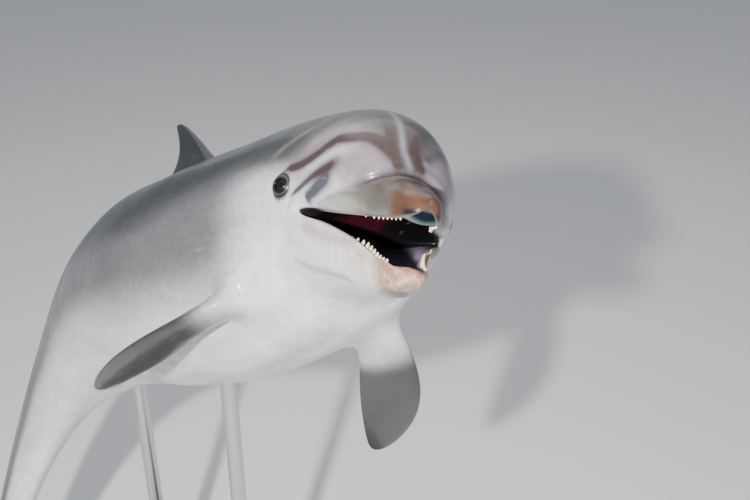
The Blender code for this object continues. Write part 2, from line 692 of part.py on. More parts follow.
# each length of the body: its name, where it starts and ends (back), its finish, and which jaw it keeps
LENGTHS = [("rostrum", None, 0.112, "jaw_skin", "upper"), ("melon", 0.112, 0.268, "head_skin", "upper"),
           ("lower_jaw", None, 0.268, "jaw_skin", "lower"), ("head", 0.268, 0.430, "head_skin", None),
           ("neck", 0.430, 0.500, "back_skin", None), ("thorax", 0.500, 0.840, "back_skin", None),
           ("abdomen", 0.840, 1.345, "back_skin", None), ("loin", 1.345, 1.720, "back_skin", None),
           ("tail_stock_front", 1.720, 1.980, "back_skin", None),
           ("tail_stock", 1.980, None, "back_skin", None)]


def body_nodes(body):
    """The lengths of the body and its fins, each bent onto the spine, by name."""
    nodes = {}
    for name, front, rear, finish, jaw in LENGTHS:
        bm = body_length(body, front, rear)
        if jaw:
            keep_jaw(bm, jaw)
        bm = in_fixed_order(bm)
        for v in bm.verts:
            v.co = bent(v.co)
        face_outwards(bm)
        join_flat_faces(bm)
        nodes[name] = new_object(name, bm, material(finish))
    for number, (name, fin) in enumerate(FINS.items(), start=1):
        bm = in_fixed_order(fin_piece(body, number, fin))
        face_outwards(bm)
        nodes[name] = new_object(name, bm, material("fin_skin"))
    return nodes


def main():
    for obj in list(bpy.data.objects):
        bpy.data.objects.remove(obj)
    body = smooth_body()
    nodes = body_nodes(body)
    body.free()

    for name, side in (("left_eye", 1), ("right_eye", -1)):
        eyeball(name, side, 0.0, material("eye"))
        boolean(nodes["head"], "DIFFERENCE", eyeball(name + "_socket", side, CUT))
    boolean(nodes["lower_jaw"], "DIFFERENCE", tongue("tongue_bed", CUT))
    tongue("tongue", 0.0, material("tongue"))
    boolean(nodes["lower_jaw"], "UNION", teeth("lower_teeth", LOWER_TEETH))
    boolean(nodes["rostrum"], "UNION", teeth("rostrum_teeth", UPPER_TEETH))
    boolean(nodes["melon"], "UNION", teeth("rear_upper_teeth", REAR_TEETH))

    for station, bore in stand().items():
        for name, front, rear, _, _ in LENGTHS:
            if front and rear and front < station < rear:
                boolean(nodes[name], "DIFFERENCE", bore)


main()
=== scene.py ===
# %% [markdown]
# # A bottlenose dolphin, still, on a display stand
#
# The real object would be a painted cast at life size. What the eye meets is one unbroken wet skin, so
# one mesh stands for all the solids of flesh. Eyes, teeth and tongue are pieces of their own, because
# each is a different stuff. The stand is plain metal, and its solids from the frame already have the
# right shape, so they only get better finishes.
#
# The solids come first, as a fixed frame.

# %% Load the frame
import math
from functools import cached_property

import bmesh
import bpy
import numpy as np
from mathutils import Matrix, Quaternion, Vector, kdtree


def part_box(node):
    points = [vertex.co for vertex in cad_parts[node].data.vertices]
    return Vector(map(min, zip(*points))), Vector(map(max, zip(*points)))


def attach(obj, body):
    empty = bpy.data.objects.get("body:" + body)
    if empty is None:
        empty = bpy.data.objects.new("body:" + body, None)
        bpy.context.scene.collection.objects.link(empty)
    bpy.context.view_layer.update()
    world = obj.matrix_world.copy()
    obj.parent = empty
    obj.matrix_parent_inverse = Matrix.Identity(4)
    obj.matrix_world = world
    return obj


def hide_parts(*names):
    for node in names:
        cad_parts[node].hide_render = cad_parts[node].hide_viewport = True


def add_object(name, data):
    """Puts an object made of some data into the scene."""
    obj = bpy.data.objects.new(name, data)
    bpy.context.scene.collection.objects.link(obj)
    return obj


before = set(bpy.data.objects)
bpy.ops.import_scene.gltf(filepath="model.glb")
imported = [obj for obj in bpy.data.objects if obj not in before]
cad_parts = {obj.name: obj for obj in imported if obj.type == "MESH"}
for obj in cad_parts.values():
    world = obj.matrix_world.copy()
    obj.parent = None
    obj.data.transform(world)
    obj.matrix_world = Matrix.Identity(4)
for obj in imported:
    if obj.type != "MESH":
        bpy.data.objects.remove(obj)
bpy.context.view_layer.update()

# %% [markdown]
# The head is the part that everything else is placed from. The two eyeballs are solids of the frame, so
# the middle between them gives the head's place, and half the way between them gives how far apart the
# eyes are. That is safer than typing the same numbers again.

# %% The head's place, from the eyes
eyes = {side: sum(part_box(name), Vector()) / 2 for name, side in (("left_eye", 1), ("right_eye", -1))}
head_place = (eyes[1] + eyes[-1]) / 2
EYE_BACK = 0.33
EYE_APART = (eyes[1] - eyes[-1]).length / 2
EYE_RADIUS = 0.0135
print("eyes are", round(2 * EYE_APART, 4), "m apart, about", [round(c, 3) for c in head_place])

# %% [markdown]
# The camera stands before the animal's right cheek and looks down on it. It is set from the head, so it
# keeps its framing wherever the head is. Its axes are a heading round the animal and an angle down.

# %% The camera
CAMERA_FROM_HEAD = Vector((-1.021, -1.094, 0.850))
CAMERA_HEADING, CAMERA_DOWN = 43.63, 32.0      # degrees
LENS, SENSOR = 50.4, 36.0                      # millimetres
camera = add_object("camera", bpy.data.cameras.new("camera"))
camera.data.lens, camera.data.sensor_width = LENS, SENSOR
camera.data.clip_start, camera.data.clip_end = 0.05, 60.0
camera.location = head_place + CAMERA_FROM_HEAD
camera.rotation_euler = (math.radians(90 - CAMERA_DOWN), 0.0, math.radians(-CAMERA_HEADING))
bpy.context.scene.camera = camera
print("camera stands", round(camera.location.z, 2), "m above the floor")

# %% [markdown]
# ## The shape of the body
#
# A dolphin is close to a lathe-turned spindle, so its form is a few curves along its length: its top,
# its underside, its half width, the height where it is widest, and the line of the lips. One could
# sculpt it by hand, but curves keep the skin close over the solids. A place on the straight body is
# (back, left, up): back from the tip of the upper jaw, left of the midline, up from the eyes' level.

# %% The outlines along the body
GAPE = 14.0                     # how far the lower jaw is swung open, in degrees
JAW_HINGE = (0.31, -0.040)
CORNER_BACK = 0.275             # the station of the mouth's corners
PUSHED_OUT = 1.012              # how much larger the cage is than the skin it makes
COLUMNS, LIP, CROSSING = 20, 6, 8   # cage points round a ring, from the back to a lip, across the mouth
GATHERED = 1.25                 # how strongly the columns crowd towards the lips
FIN_PINCH = 0.55                # how far the columns beside the midline close in under the dorsal fin
PALATE_DEPTH, FLOOR_DEPTH, KNOB = 0.022, 0.038, 0.009

TOP = [(0.0, -0.031), (0.02, -0.013), (0.05, 0.000), (0.085, 0.009), (0.105, 0.016), (0.114, 0.036),
       (0.133, 0.068), (0.160, 0.100), (0.203, 0.128), (0.265, 0.150), (0.34, 0.162), (0.45, 0.172),
       (0.60, 0.189), (0.90, 0.215), (1.10, 0.215), (1.40, 0.185), (1.70, 0.125), (1.95, 0.086),
       (2.15, 0.058), (2.30, 0.034), (2.40, 0.016), (2.46, 0.006)]
BOTTOM = [(0.0, -0.078), (0.03, -0.092), (0.08, -0.105), (0.14, -0.119), (0.20, -0.133), (0.275, -0.149),
          (0.33, -0.163), (0.45, -0.202), (0.60, -0.230), (0.90, -0.255), (1.10, -0.257), (1.40, -0.232),
          (1.70, -0.175), (1.95, -0.126), (2.15, -0.095), (2.30, -0.068), (2.40, -0.048), (2.46, -0.036)]
HALF_WIDTH = [(0.0, 0.022), (0.02, 0.029), (0.05, 0.037), (0.085, 0.046), (0.105, 0.053), (0.14, 0.079),
              (0.18, 0.100), (0.23, 0.117), (0.275, 0.128), (0.33, 0.141), (0.45, 0.175), (0.60, 0.205),
              (0.90, 0.230), (1.10, 0.220), (1.40, 0.180), (1.70, 0.110), (1.95, 0.065), (2.15, 0.042),
              (2.30, 0.034), (2.40, 0.026), (2.46, 0.014)]
WIDEST_UP = [(0.0, -0.046), (0.09, -0.044), (0.13, -0.022), (0.18, -0.004), (0.33, -0.005),
             (0.60, -0.025), (2.10, -0.020), (2.46, -0.016)]
LIP_UP = [(0.0, -0.051), (0.05, -0.052), (0.11, -0.050), (0.17, -0.047), (0.22, -0.043),
          (CORNER_BACK, -0.036), (0.34, -0.050), (0.60, -0.085), (2.46, -0.03)]

HEAD_RINGS = [0.300, 0.330, 0.360, 0.405, 0.455]
FLIPPER_RINGS = [0.505, 0.570, 0.635]
CHEST_RINGS = [0.73, 0.86]
FIN_RINGS = [0.97, 1.08, 1.20, 1.31]
TAIL_RINGS = [1.42, 1.54, 1.66, 1.78, 1.89, 1.99, 2.09, 2.18]
FLUKE_RINGS = [2.26, 2.33, 2.40, 2.452]
UPPER_RINGS = [0.235, 0.190, 0.155, 0.130, 0.116, 0.105, 0.085, 0.050, 0.022]
LOWER_RINGS = [0.235, 0.190, 0.145, 0.100, 0.055, 0.018]
# how much of the gape the lower lip follows: all of it at the tip, none at the corner
LIP_FOLLOWS = [(0.018, 1.0), (0.055, 0.92), (0.10, 0.68), (0.145, 0.40), (0.19, 0.16), (0.235, 0.07),
               (CORNER_BACK, 0.0)]


def slope_at(points, i):
    """The slope of a curve at one of its points, 0 at a peak, so that it never overshoots."""
    slopes = [(b[1] - a[1]) / (b[0] - a[0])
              for a, b in zip(points[max(i - 1, 0):], points[max(i, 1):i + 2])]
    before, after = slopes[0], slopes[-1]
    if len(slopes) == 1:
        return before
    return 0.0 if before * after <= 0 else 2 * before * after / (before + after)


def through(points, x):
    """The value at x of a smooth curve through points, a list of (x, value)."""
    if x <= points[0][0]:
        return points[0][1]
    for i, ((x0, y0), (x1, y1)) in enumerate(zip(points, points[1:])):
        if x <= x1:
            t, run = (x - x0) / (x1 - x0), x1 - x0
            return (y0 * (1 + 2 * t) * (1 - t) ** 2 + slope_at(points, i) * run * t * (1 - t) ** 2
                    + y1 * t * t * (3 - 2 * t) + slope_at(points, i + 1) * run * t * t * (t - 1))
    return points[-1][1]


def ease(low, high, x):
    """0 at low and before it, 1 at high and beyond, smooth between them; x may be an array."""
    t = np.clip((x - low) / (high - low), 0.0, 1.0)
    return t * t * (3 - 2 * t)


def near(x, middle, width):
    """1 at the middle, and less with every width away from it; x may be an array."""
    return np.exp(-((x - middle) / width) ** 2)


print("the body is", FLUKE_RINGS[-1], "m from the jaw's tip to the notch of the flukes")

# %% [markdown]
# The pose is a bent spine. The head is rigid, and behind it each short stretch of spine rolls, pitches
# and yaws a little more than the last. An armature with weights could do this too, but a rigged mesh
# thins at its bends, while carrying every point along one smooth line does not.

# %% The bent spine
HEAD_HEADING, HEAD_PITCH, HEAD_ROLL = -23.6, 33.9, -22.9
# from one station to another, and how far that stretch rolls, pitches and yaws in all, in degrees
SPINE = [(0.40, 0.66, 2.0, -16.0, 19.0), (0.66, 1.10, -2.0, 11.0, 0.0), (1.10, 1.65, 0.0, -33.0, -1.0),
         (1.65, 2.20, -2.0, -58.0, 2.0), (2.20, 2.34, 0.0, 24.0, 0.0)]
SPINE_STEP, SPINE_END = 0.01, 2.6


def head_turn():
    """The head's axes in the world, as the columns forward, left and up."""
    heading, pitch, roll = (math.radians(a) for a in (HEAD_HEADING, HEAD_PITCH, HEAD_ROLL))
    forward = Vector((math.sin(heading) * math.cos(pitch), -math.cos(heading) * math.cos(pitch),
                      math.sin(pitch)))
    left = Vector((0, 0, 1)).cross(forward).normalized()
    left.rotate(Quaternion(forward, roll))
    return Matrix((forward, left, forward.cross(left))).transposed()


def spine_frames():
    """(place, axes) for each step down the spine, from the head to the end of the tail."""
    place, axes, back = head_place.copy(), head_turn(), EYE_BACK
    frames = [(place.copy(), axes.copy())]
    while back < SPINE_END:
        middle = back + SPINE_STEP / 2
        for start, end, roll, pitch, yaw in SPINE:
            if start <= middle < end:
                turn = Vector((roll, pitch, yaw)) * math.radians(SPINE_STEP / (end - start))
                axes = axes @ Quaternion(turn.normalized(), turn.length).to_matrix()
        place = place - axes.col[0] * SPINE_STEP
        back += SPINE_STEP
        frames.append((place.copy(), axes.copy()))
    return frames


FRAMES = spine_frames()


def spine_at(back):
    """The place and axes of the spine at one station."""
    if back <= EYE_BACK:
        place, axes = FRAMES[0]
        return place + axes.col[0] * (EYE_BACK - back), axes
    step = min((back - EYE_BACK) / SPINE_STEP, len(FRAMES) - 1.001)
    i, t = int(step), step - int(step)
    turn = FRAMES[i][1].to_quaternion().slerp(FRAMES[i + 1][1].to_quaternion(), t)
    return FRAMES[i][0].lerp(FRAMES[i + 1][0], t), turn.to_matrix()


def bent(point):
    """A place on the straight body, carried onto the bent spine."""
    place, axes = spine_at(point[0])
    return place + axes.col[1] * point[1] + axes.col[2] * point[2]


def held(point, station):
    """The same for a fin, which stays as stiff as its root at one station."""
    place, axes = spine_at(station)
    return place + axes @ Vector((station - point[0], point[1], point[2]))


drift = (bent((EYE_BACK, EYE_APART, 0.0)) - eyes[1]).length
print("the left eye on the spine is", round(drift * 1000, 3), "mm from the frame's")

# %% [markdown]
# Each section across the body is a superellipse, a rounded shape between an ellipse and a box. The mouth
# opens by swinging the lower jaw about a hinge near the ears, and the throat follows by a share of it.

# %% Sections across the body, and the opened jaw


def rounding(back):
    """The superellipse exponent of a section: near 2 is an ellipse, more is boxier."""
    return 2.0 + 0.35 * ease(0.16, 0.05, back) + 0.12 * ease(0.20, 0.30, back) * ease(0.60, 0.45, back)


def reach_of(back, above):
    """The height where a section is widest, and how far it reaches above that or below it."""
    widest = through(WIDEST_UP, back)
    return widest, through(TOP, back) - widest if above else widest - through(BOTTOM, back)


def on_section(back, angle):
    """(left, up) of the section's outline at an angle down from the back."""
    power = 2.0 / rounding(back)
    side, rise = math.sin(angle), math.cos(angle)
    widest, reach = reach_of(back, rise > 0)
    left = through(HALF_WIDTH, back) * math.copysign(abs(side) ** power, side)
    return left, widest + reach * math.copysign(abs(rise) ** power, rise)


def lip_angle(back):
    """The angle at which a section crosses the line of the lips."""
    lip = through(LIP_UP, back)
    above = lip >= through(WIDEST_UP, back)
    widest, reach = reach_of(back, above)
    share = min(1.0, abs(lip - widest) / reach) ** (rounding(back) / 2)
    return math.acos(share) if above else math.pi / 2 + math.asin(share)


def column_angle(back, column):
    """The angle of a column: even steps on the trunk, and gathered towards the lips on the head."""
    turn = 1 if column <= COLUMNS // 2 else -1
    near = column if turn == 1 else COLUMNS - column
    lip = lip_angle(back)
    if near <= LIP:
        gathered = lip * (1 - (1 - near / LIP) ** GATHERED)
    else:
        gathered = lip + (math.pi - lip) * ((near - LIP) / (COLUMNS // 2 - LIP)) ** GATHERED
    angle = gathered + (2 * math.pi * near / COLUMNS - gathered) * ease(0.30, 0.48, back)
    if near == 1:
        angle *= 1 - FIN_PINCH * ease(0.88, 0.97, back) * ease(1.40, 1.31, back)
    return turn * angle


def skin_point(back, column):
    """A cage point on the body, pushed out a little because subdivision pulls it in."""
    left, up = on_section(back, column_angle(back, column))
    widest = through(WIDEST_UP, back)
    return Vector((back, left * PUSHED_OUT, widest + (up - widest) * PUSHED_OUT))


def swung(back, up, share):
    """Places seen from the side, swung down about the hinge by a share of the gape; arrays will do."""
    angle = math.radians(GAPE) * share
    back, up = back - JAW_HINGE[0], up - JAW_HINGE[1]
    return (JAW_HINGE[0] + back * np.cos(angle) - up * np.sin(angle),
            JAW_HINGE[1] + back * np.sin(angle) + up * np.cos(angle))


def opened(point, share):
    """A point of the lower jaw, swung down by its share of the gape."""
    back, up = swung(point[0], point[2], share)
    return Vector((back, point[1], up))


def lowness(column):
    """0 above the lips, 1 on the underside."""
    return ease(LIP - 0.6, COLUMNS // 2 - 1, min(column, COLUMNS - column))


def throat_share(back, column):
    """How much of the gape the skin behind the mouth follows."""
    return ease(0.47, CORNER_BACK, back) * lowness(column)


def jaw_share(back, low):
    """How much of the gape a point of the lower jaw follows: all of it low down, less at the lip."""
    lip = through(LIP_FOLLOWS, back)
    return lip + (1 - lip) * low


def mouth_point(back, share, upper):
    """A point inside the mouth, a trough behind the swollen tip of each jaw: share runs from -1 at the
    right lip to 1 at the left one."""
    left, lip = on_section(back, lip_angle(back))
    trough = ease(0.95, 0.35, abs(share)) * ease(0.030, 0.085, back)
    knob = KNOB * (1 - share * share) * ease(0.060, 0.020, back)
    depth = (PALATE_DEPTH if upper else FLOOR_DEPTH) * trough - knob
    left = left * share * (0.96 - 0.07 * trough)
    return Vector((back, left, lip + (depth if upper else -depth)))


lips = [opened(mouth_point(0.02, 1.0, upper), share) for upper, share in ((True, 0.0), (False, 1.0))]
print("the lips part by", round((lips[0] - lips[1]).length, 3), "m at the tip")

# %% [markdown]
# ## One skin
#
# A coarse cage of rings is grown by extrusion: back from the corners of the mouth to the flukes, then
# forward twice, as the two jaws, the way a trouser splits into legs. The fins grow out of its faces.
# Metaballs or a voxel remesh would also join such limbs, but they round off lips and fin edges.
#
# Four numbers are kept for each point: how far the gape has moved it, whether it lies inside the mouth,
# whether it belongs to the lower jaw, and how far out along a fin it is. Subdivision carries them to the
# fine mesh, where the markings need them.

# %% Growing the cage
KEPT = ("opening", "inside", "lower", "span")
UPPER_TIP, LOWER_TIP = Vector((-0.002, 0, -0.038)), Vector((-0.008, 0, -0.060))
TAIL_END = Vector((2.475, 0, -0.018))
JAW_CAP, TAIL_CAP = [(0.72, 0.65), (0.3, 1.0)], [(0.55, 0.7), (0.2, 1.0)]
CORNER_DEEP, CORNER_UP = 0.075, -0.050      # how the mouth's lining runs on behind its corners


def grow(bm, loop):
    """Extrudes a closed loop of vertices once, and returns the new loop in the same order."""
    edges = [next(e for e in a.link_edges if e.other_vert(a) is b)
             for a, b in zip(loop, loop[1:] + loop[:1])]
    new = bmesh.ops.extrude_edge_only(bm, edges=edges)["geom"]
    fresh = {v for v in new if isinstance(v, bmesh.types.BMVert)}
    return [next(e.other_vert(v) for e in v.link_edges if e.other_vert(v) in fresh) for v in loop]


def cap(bm, loop, centre, steps):
    """Closes a ring with smaller rings towards centre; steps are (size, how far forward)."""
    middle = sum((v.co for v in loop), Vector()) / len(loop)
    first = [v.co - middle for v in loop]
    for size, forward in steps:
        loop = grow(bm, loop)
        for v, offset in zip(loop, first):
            v.co = middle.lerp(centre, forward) + offset * size
    bm.faces.new(loop)


def note(v, layers, **values):
    """Keeps numbers on one point of the cage."""
    for name, value in values.items():
        v[layers[name]] = value


def grow_jaw(bm, loop, sides, rings, upper, layers):
    """Carries one jaw forward, ring by ring, and closes its tip."""
    turn = 1 if upper else -1
    for back in rings:
        loop = grow(bm, loop)
        spots = [(skin_point(back, k % COLUMNS), lowness(k % COLUMNS), 0.0) for k in sides]
        for i in range(1, CROSSING):
            across = turn * (1 - 2 * i / CROSSING)
            spots.append((mouth_point(back, across, upper), 1 - abs(across) ** 3, 1.0))
        for v, (spot, low, within) in zip(loop, spots):
            share = 0.0 if upper else jaw_share(back, low)
            v.co = opened(spot, share)
            note(v, layers, opening=share, inside=within, lower=float(not upper))
    cap(bm, loop, UPPER_TIP if upper else opened(LOWER_TIP, 1.0), JAW_CAP)


def cage(bm, layers):
    """The whole body as one closed cage; returns its rings behind the mouth, by station."""
    rings = {}
    ring = bmesh.ops.create_circle(bm, segments=COLUMNS, radius=1)["verts"]
    stations = [CORNER_BACK] + HEAD_RINGS + FLIPPER_RINGS + CHEST_RINGS + FIN_RINGS + TAIL_RINGS
    for back in stations + FLUKE_RINGS:
        if back != CORNER_BACK:
            ring = grow(bm, ring)
        for column, v in enumerate(ring):
            note(v, layers, opening=throat_share(back, column), lower=lowness(column))
            v.co = opened(skin_point(back, column), v[layers["opening"]])
        rings[back] = ring
    cap(bm, ring, TAIL_END, TAIL_CAP)

    corner = rings[CORNER_BACK]
    inner, end = [], corner[LIP]
    for _ in range(CROSSING - 1):
        end = bmesh.ops.extrude_vert_indiv(bm, verts=[end])["verts"][0]
        inner.append(end)
    bm.edges.new((end, corner[-LIP]))
    for i, v in enumerate(inner):
        share = 1 - 2 * (i + 1) / CROSSING
        deep = CORNER_BACK + CORNER_DEEP * math.sqrt(1 - share * share)
        v.co = opened((deep, corner[LIP].co[1] * share * 0.9, CORNER_UP), 0.5)
        note(v, layers, opening=0.5, inside=1.0, lower=0.5)

    jaws = ((range(-LIP, LIP + 1), inner, UPPER_RINGS, True),
            (range(LIP, COLUMNS - LIP + 1), inner[::-1], LOWER_RINGS, False))
    for sides, back_row, jaw_rings, upper in jaws:
        grow_jaw(bm, [corner[k] for k in sides] + back_row, sides, jaw_rings, upper, layers)
    return rings


# %% [markdown]
# A fin is a swept foil: thick and round along its front edge, thin along its rear one. Each has its root,
# its axes and its outline on the straight body. The flippers sweep back and bow a little, the dorsal fin
# leans back to a point, and the flukes lie flat and meet at the notch.

# %% The five fins
DORSAL = dict(
    rings=FIN_RINGS, columns=(-1, 0, 1), station=1.14, root=(1.14, 0.0, 0.203), span=0.205,
    out=(0.0, 0.0, 1.0), chord=(1.0, 0.0, 0.0),
    leading=[(0.0, -0.175), (0.15, -0.110), (0.4, -0.030), (0.7, 0.064), (0.9, 0.134), (1.0, 0.180)],
    trailing=[(0.0, 0.170), (0.15, 0.140), (0.4, 0.120), (0.7, 0.142), (0.9, 0.184), (1.0, 0.202)],
    thick=[(0.0, 0.034), (0.15, 0.022), (0.5, 0.013), (0.9, 0.006), (1.0, 0.003)])
FLIPPER = dict(
    leading=[(0.0, -0.066), (0.2, -0.074), (0.45, -0.070), (0.7, -0.048), (0.9, -0.014), (1.0, 0.012)],
    trailing=[(0.0, 0.064), (0.2, 0.062), (0.45, 0.062), (0.7, 0.054), (0.9, 0.040), (1.0, 0.026)],
    thick=[(0.0, 0.026), (0.2, 0.019), (0.5, 0.013), (0.9, 0.007), (1.0, 0.004)],
    rings=FLIPPER_RINGS, station=0.57, span=0.385, bow=0.030)
FLUKE = dict(
    leading=[(0.0, -0.105), (0.15, -0.085), (0.35, -0.040), (0.6, 0.025), (0.85, 0.095), (1.0, 0.150)],
    trailing=[(0.0, 0.092), (0.15, 0.112), (0.35, 0.124), (0.6, 0.126), (0.85, 0.140), (1.0, 0.164)],
    thick=[(0.0, 0.026), (0.15, 0.017), (0.5, 0.010), (0.9, 0.005), (1.0, 0.003)],
    rings=FLUKE_RINGS, station=2.36, span=0.290, chord=(1, 0, 0))
FINS = {
    "dorsal_fin": DORSAL,
    "left_flipper": dict(FLIPPER, columns=(7, 8), root=(0.570, 0.150, -0.170), out=(0.70, 0.51, -0.50),
                         chord=(0.50, -0.86, -0.10), away=(0.0, 0.7, -0.7)),
    "right_flipper": dict(FLIPPER, columns=(-7, -8), root=(0.570, -0.150, -0.170),
                          out=(0.85, -0.345, -0.41), chord=(0.50, 0.80, 0.05), away=(0.0, -0.7, -0.7)),
    "left_fluke": dict(FLUKE, columns=(4, 5, 6), root=(2.36, 0.018, -0.018), out=(0, 1, 0)),
    "right_fluke": dict(FLUKE, columns=(-4, -5, -6), root=(2.36, -0.018, -0.018), out=(0, -1, 0))}
FIN_STEPS = (0.12, 0.36, 0.62, 0.85, 0.975)
RIM_ENDS = (0.07, 0.90)                 # shares of the chord where a rim with a middle column ends
FIN_FULLNESS, FIN_EDGE = 1.25, 0.42     # how much thicker the cage is than the fin, and its edge's share


def fin_rim(fin):
    """The rim of a fin's region, as (ring, column, share of the chord, side) in order around it."""
    rings, columns = fin["rings"], fin["columns"]
    first, last, inner = columns[0], columns[-1], columns[1:-1]
    shares = [i / (len(rings) - 1) for i in range(len(rings))]
    if inner:
        shares[0], shares[-1] = RIM_ENDS
    rim = [(r, first, s, 1) for r, s in zip(rings, shares)]
    rim += [(rings[-1], c, 1.0, 0) for c in inner]
    rim += [(r, last, s, -1) for r, s in zip(rings[::-1], shares[::-1])]
    return rim + [(rings[0], c, 0.0, 0) for c in inner]


def fin_point(fin, share, chord_share, side, across):
    """A point of the fin's surface at a share of its span and of its chord."""
    out = Vector(fin["out"]).normalized()
    chord = Vector(fin["chord"])
    chord = (chord - out * chord.dot(out)).normalized()
    normal = out.cross(chord)
    normal = normal * math.copysign(1.0, normal.dot(across))
    away = Vector(fin.get("away", out))
    turned = ease(-0.10, 0.50, share) if "away" in fin else 1.0
    chord = Vector((1.0, 0.0, 0.0)).lerp(chord, turned).normalized()
    normal = across.normalized().lerp(normal, turned).normalized()
    front, rear = through(fin["leading"], share), through(fin["trailing"], share)
    at_edge = chord_share in (0.0, 1.0)
    fullness = 1.0 if at_edge and len(fin["columns"]) == 2 else FIN_FULLNESS
    thick = through(fin["thick"], share) * side * fullness * (FIN_EDGE if at_edge else 1.0)
    place = Vector(fin["root"]) + out * fin["span"] * share
    place += away * fin.get("bow", 0.0) * math.sin(math.pi * share)
    return place + chord * (front + (rear - front) * chord_share) + normal * thick


def add_fins(bm, rings, span):
    """Grows each fin out of its region of the cage; span keeps how far out along a fin a point is."""
    for number, fin in enumerate(FINS.values(), start=1):
        columns = [c % COLUMNS for c in fin["columns"]]
        region = [rings[r][c] for r in fin["rings"] for c in columns]
        faces = [f for f in bm.faces if all(v in region for v in f.verts)]
        bmesh.ops.delete(bm, geom=faces, context="FACES")
        for v in region:
            if v.is_valid and not v.link_faces:
                bm.verts.remove(v)
        rim = fin_rim(fin)
        loop = [rings[r][c % COLUMNS] for r, c, _, _ in rim]
        middle = rings[fin["rings"][1]]
        across = middle[columns[0]].co - middle[columns[-1]].co
        before = set(bm.faces)
        for share in FIN_STEPS:
            loop = grow(bm, loop)
            for v, (_, _, chord_share, side) in zip(loop, rim):
                v.co = fin_point(fin, share, chord_share, side, across)
                v[span] = share
        bm.faces.new(loop)
        for face in bm.faces:
            if face not in before:
                face.material_index = number


# %% [markdown]
# Three rounds of subdivision make the cage smooth. The modifier's result is taken as the new mesh,
# because the eyelids are then worked into it at that finer scale.

# %% From the cage to a fine straight body
SKIN_LEVELS = 3


def face_outwards(bm):
    """Turns every face of a closed bmesh outwards."""
    bm.normal_update()
    bmesh.ops.recalc_face_normals(bm, faces=bm.faces)


def fine_body():
    """The straight body, subdivided, as a bmesh."""
    bm = bmesh.new()
    layers = {name: bm.verts.layers.float.new(name) for name in KEPT}
    rings = cage(bm, layers)
    add_fins(bm, rings, layers["span"])
    face_outwards(bm)
    mesh = bpy.data.meshes.new("cage")
    bm.to_mesh(mesh)
    bm.free()
    obj = add_object("cage", mesh)
    for _ in range(len(FINS) + 1):
        mesh.materials.append(None)
    obj.modifiers.new("rounding", "SUBSURF").levels = SKIN_LEVELS
    fine = bmesh.new()
    fine.from_mesh(obj.evaluated_get(bpy.context.evaluated_depsgraph_get()).to_mesh())
    bpy.data.objects.remove(obj)
    return fine


body = fine_body()
print("the skin starts with", len(body.verts), "points and", len(body.faces), "faces")

# %% [markdown]
# ## Eyelids
#
# A dolphin's eye sits in a low mound with ring-shaped folds above and below, and a dark slit of an
# opening. Displacing an even grid would leave a ragged rim, so the faces over the eye are taken out and
# rings are grown in from the edge of that gap. Each ring has a size and a distance out from the
# eyeball's middle, and the last ones turn in behind the rim, so the lid has a thickness.

# %% Growing the eyelids in rings
EYE_MOUND, EYE_GAP = 0.055, 0.030   # how far from the eye the skin is refined, and taken out
FOOT_TILT, EYE_TILT = 13.0, 34.0    # how far forward the mound's foot and its lids look, in degrees
# each ring: its half width along the body, its half height, and how far out from the eyeball's middle
LID_RINGS = [(0.0280, 0.0270, 0.0048), (0.0252, 0.0242, 0.0060), (0.0230, 0.0220, 0.0076),
             (0.0212, 0.0201, 0.0086), (0.0198, 0.0187, 0.0076), (0.0186, 0.0175, 0.0092),
             (0.0172, 0.0161, 0.0112), (0.0160, 0.0149, 0.0116), (0.0150, 0.0139, 0.0104),
             (0.0140, 0.0129, 0.0119), (0.0129, 0.0117, 0.0128), (0.0119, 0.0106, 0.0128),
             (0.0112, 0.0099, 0.0117), (0.0110, 0.0097, 0.0100), (0.0111, 0.0099, 0.0080)]


def eye_axes(side, tilt):
    """The directions round one eye: back along its lids, and out of its socket."""
    angle = math.radians(tilt)
    return (Vector((math.cos(angle), side * math.sin(angle), 0.0)),
            Vector((-math.sin(angle), side * math.cos(angle), 0.0)))


def open_loops(bm):
    """The open rims of a bmesh, each a list of its vertices in order."""
    left, loops = dict.fromkeys(e for e in bm.edges if e.is_boundary), []
    while left:
        edge, _ = left.popitem()
        loop = [edge.verts[0], edge.verts[1]]
        while loop[-1] is not loop[0]:
            edge = next(e for e in loop[-1].link_edges if e in left)
            del left[edge]
            loop.append(edge.other_vert(loop[-1]))
        loops.append(loop[:-1])
    return loops


def refine(bm, wanted):
    """Halves the edges of the faces that pass a test of their middle and of the face itself."""
    near = {e for f in bm.faces if wanted(f.calc_center_median(), f) for e in f.edges}
    edges = [e for e in bm.edges if e in near]
    bmesh.ops.subdivide_edges(bm, edges=edges, cuts=1, use_grid_fill=True, smooth=0.0)


def refine_round(bm, centre, radius):
    """Halves the edges of the faces within a radius of a place."""
    refine(bm, lambda middle, face: (middle - centre).length < radius)


def eyelids(bm, side):
    """Replaces the skin over one eye with rings that rise to the lids and turn in behind their rim."""
    middle = Vector((EYE_BACK, side * EYE_APART, 0.0))
    refine_round(bm, middle, EYE_MOUND)
    over = [f for f in bm.faces if (f.calc_center_median() - middle).length < EYE_GAP]
    bmesh.ops.delete(bm, geom=over, context="FACES")
    loop = max(open_loops(bm), key=len)
    aims = [math.atan2(v.co.z - middle.z, v.co.x - middle.x) for v in loop]
    start = [v.co.copy() for v in loop]
    for number, (half_long, half_high, height) in enumerate(LID_RINGS, start=1):
        loop = grow(bm, loop)
        settled = ease(0.0, 3.0, number)
        along, out = eye_axes(side, FOOT_TILT + (EYE_TILT - FOOT_TILT) * ease(0.0, 7.0, number))
        for v, aim, first in zip(loop, aims, start):
            ring = middle + along * math.cos(aim) * half_long + out * height
            ring.z += math.sin(aim) * half_high
            v.co = first.lerp(ring, settled)
    bm.faces.new(loop)
    return len(over)


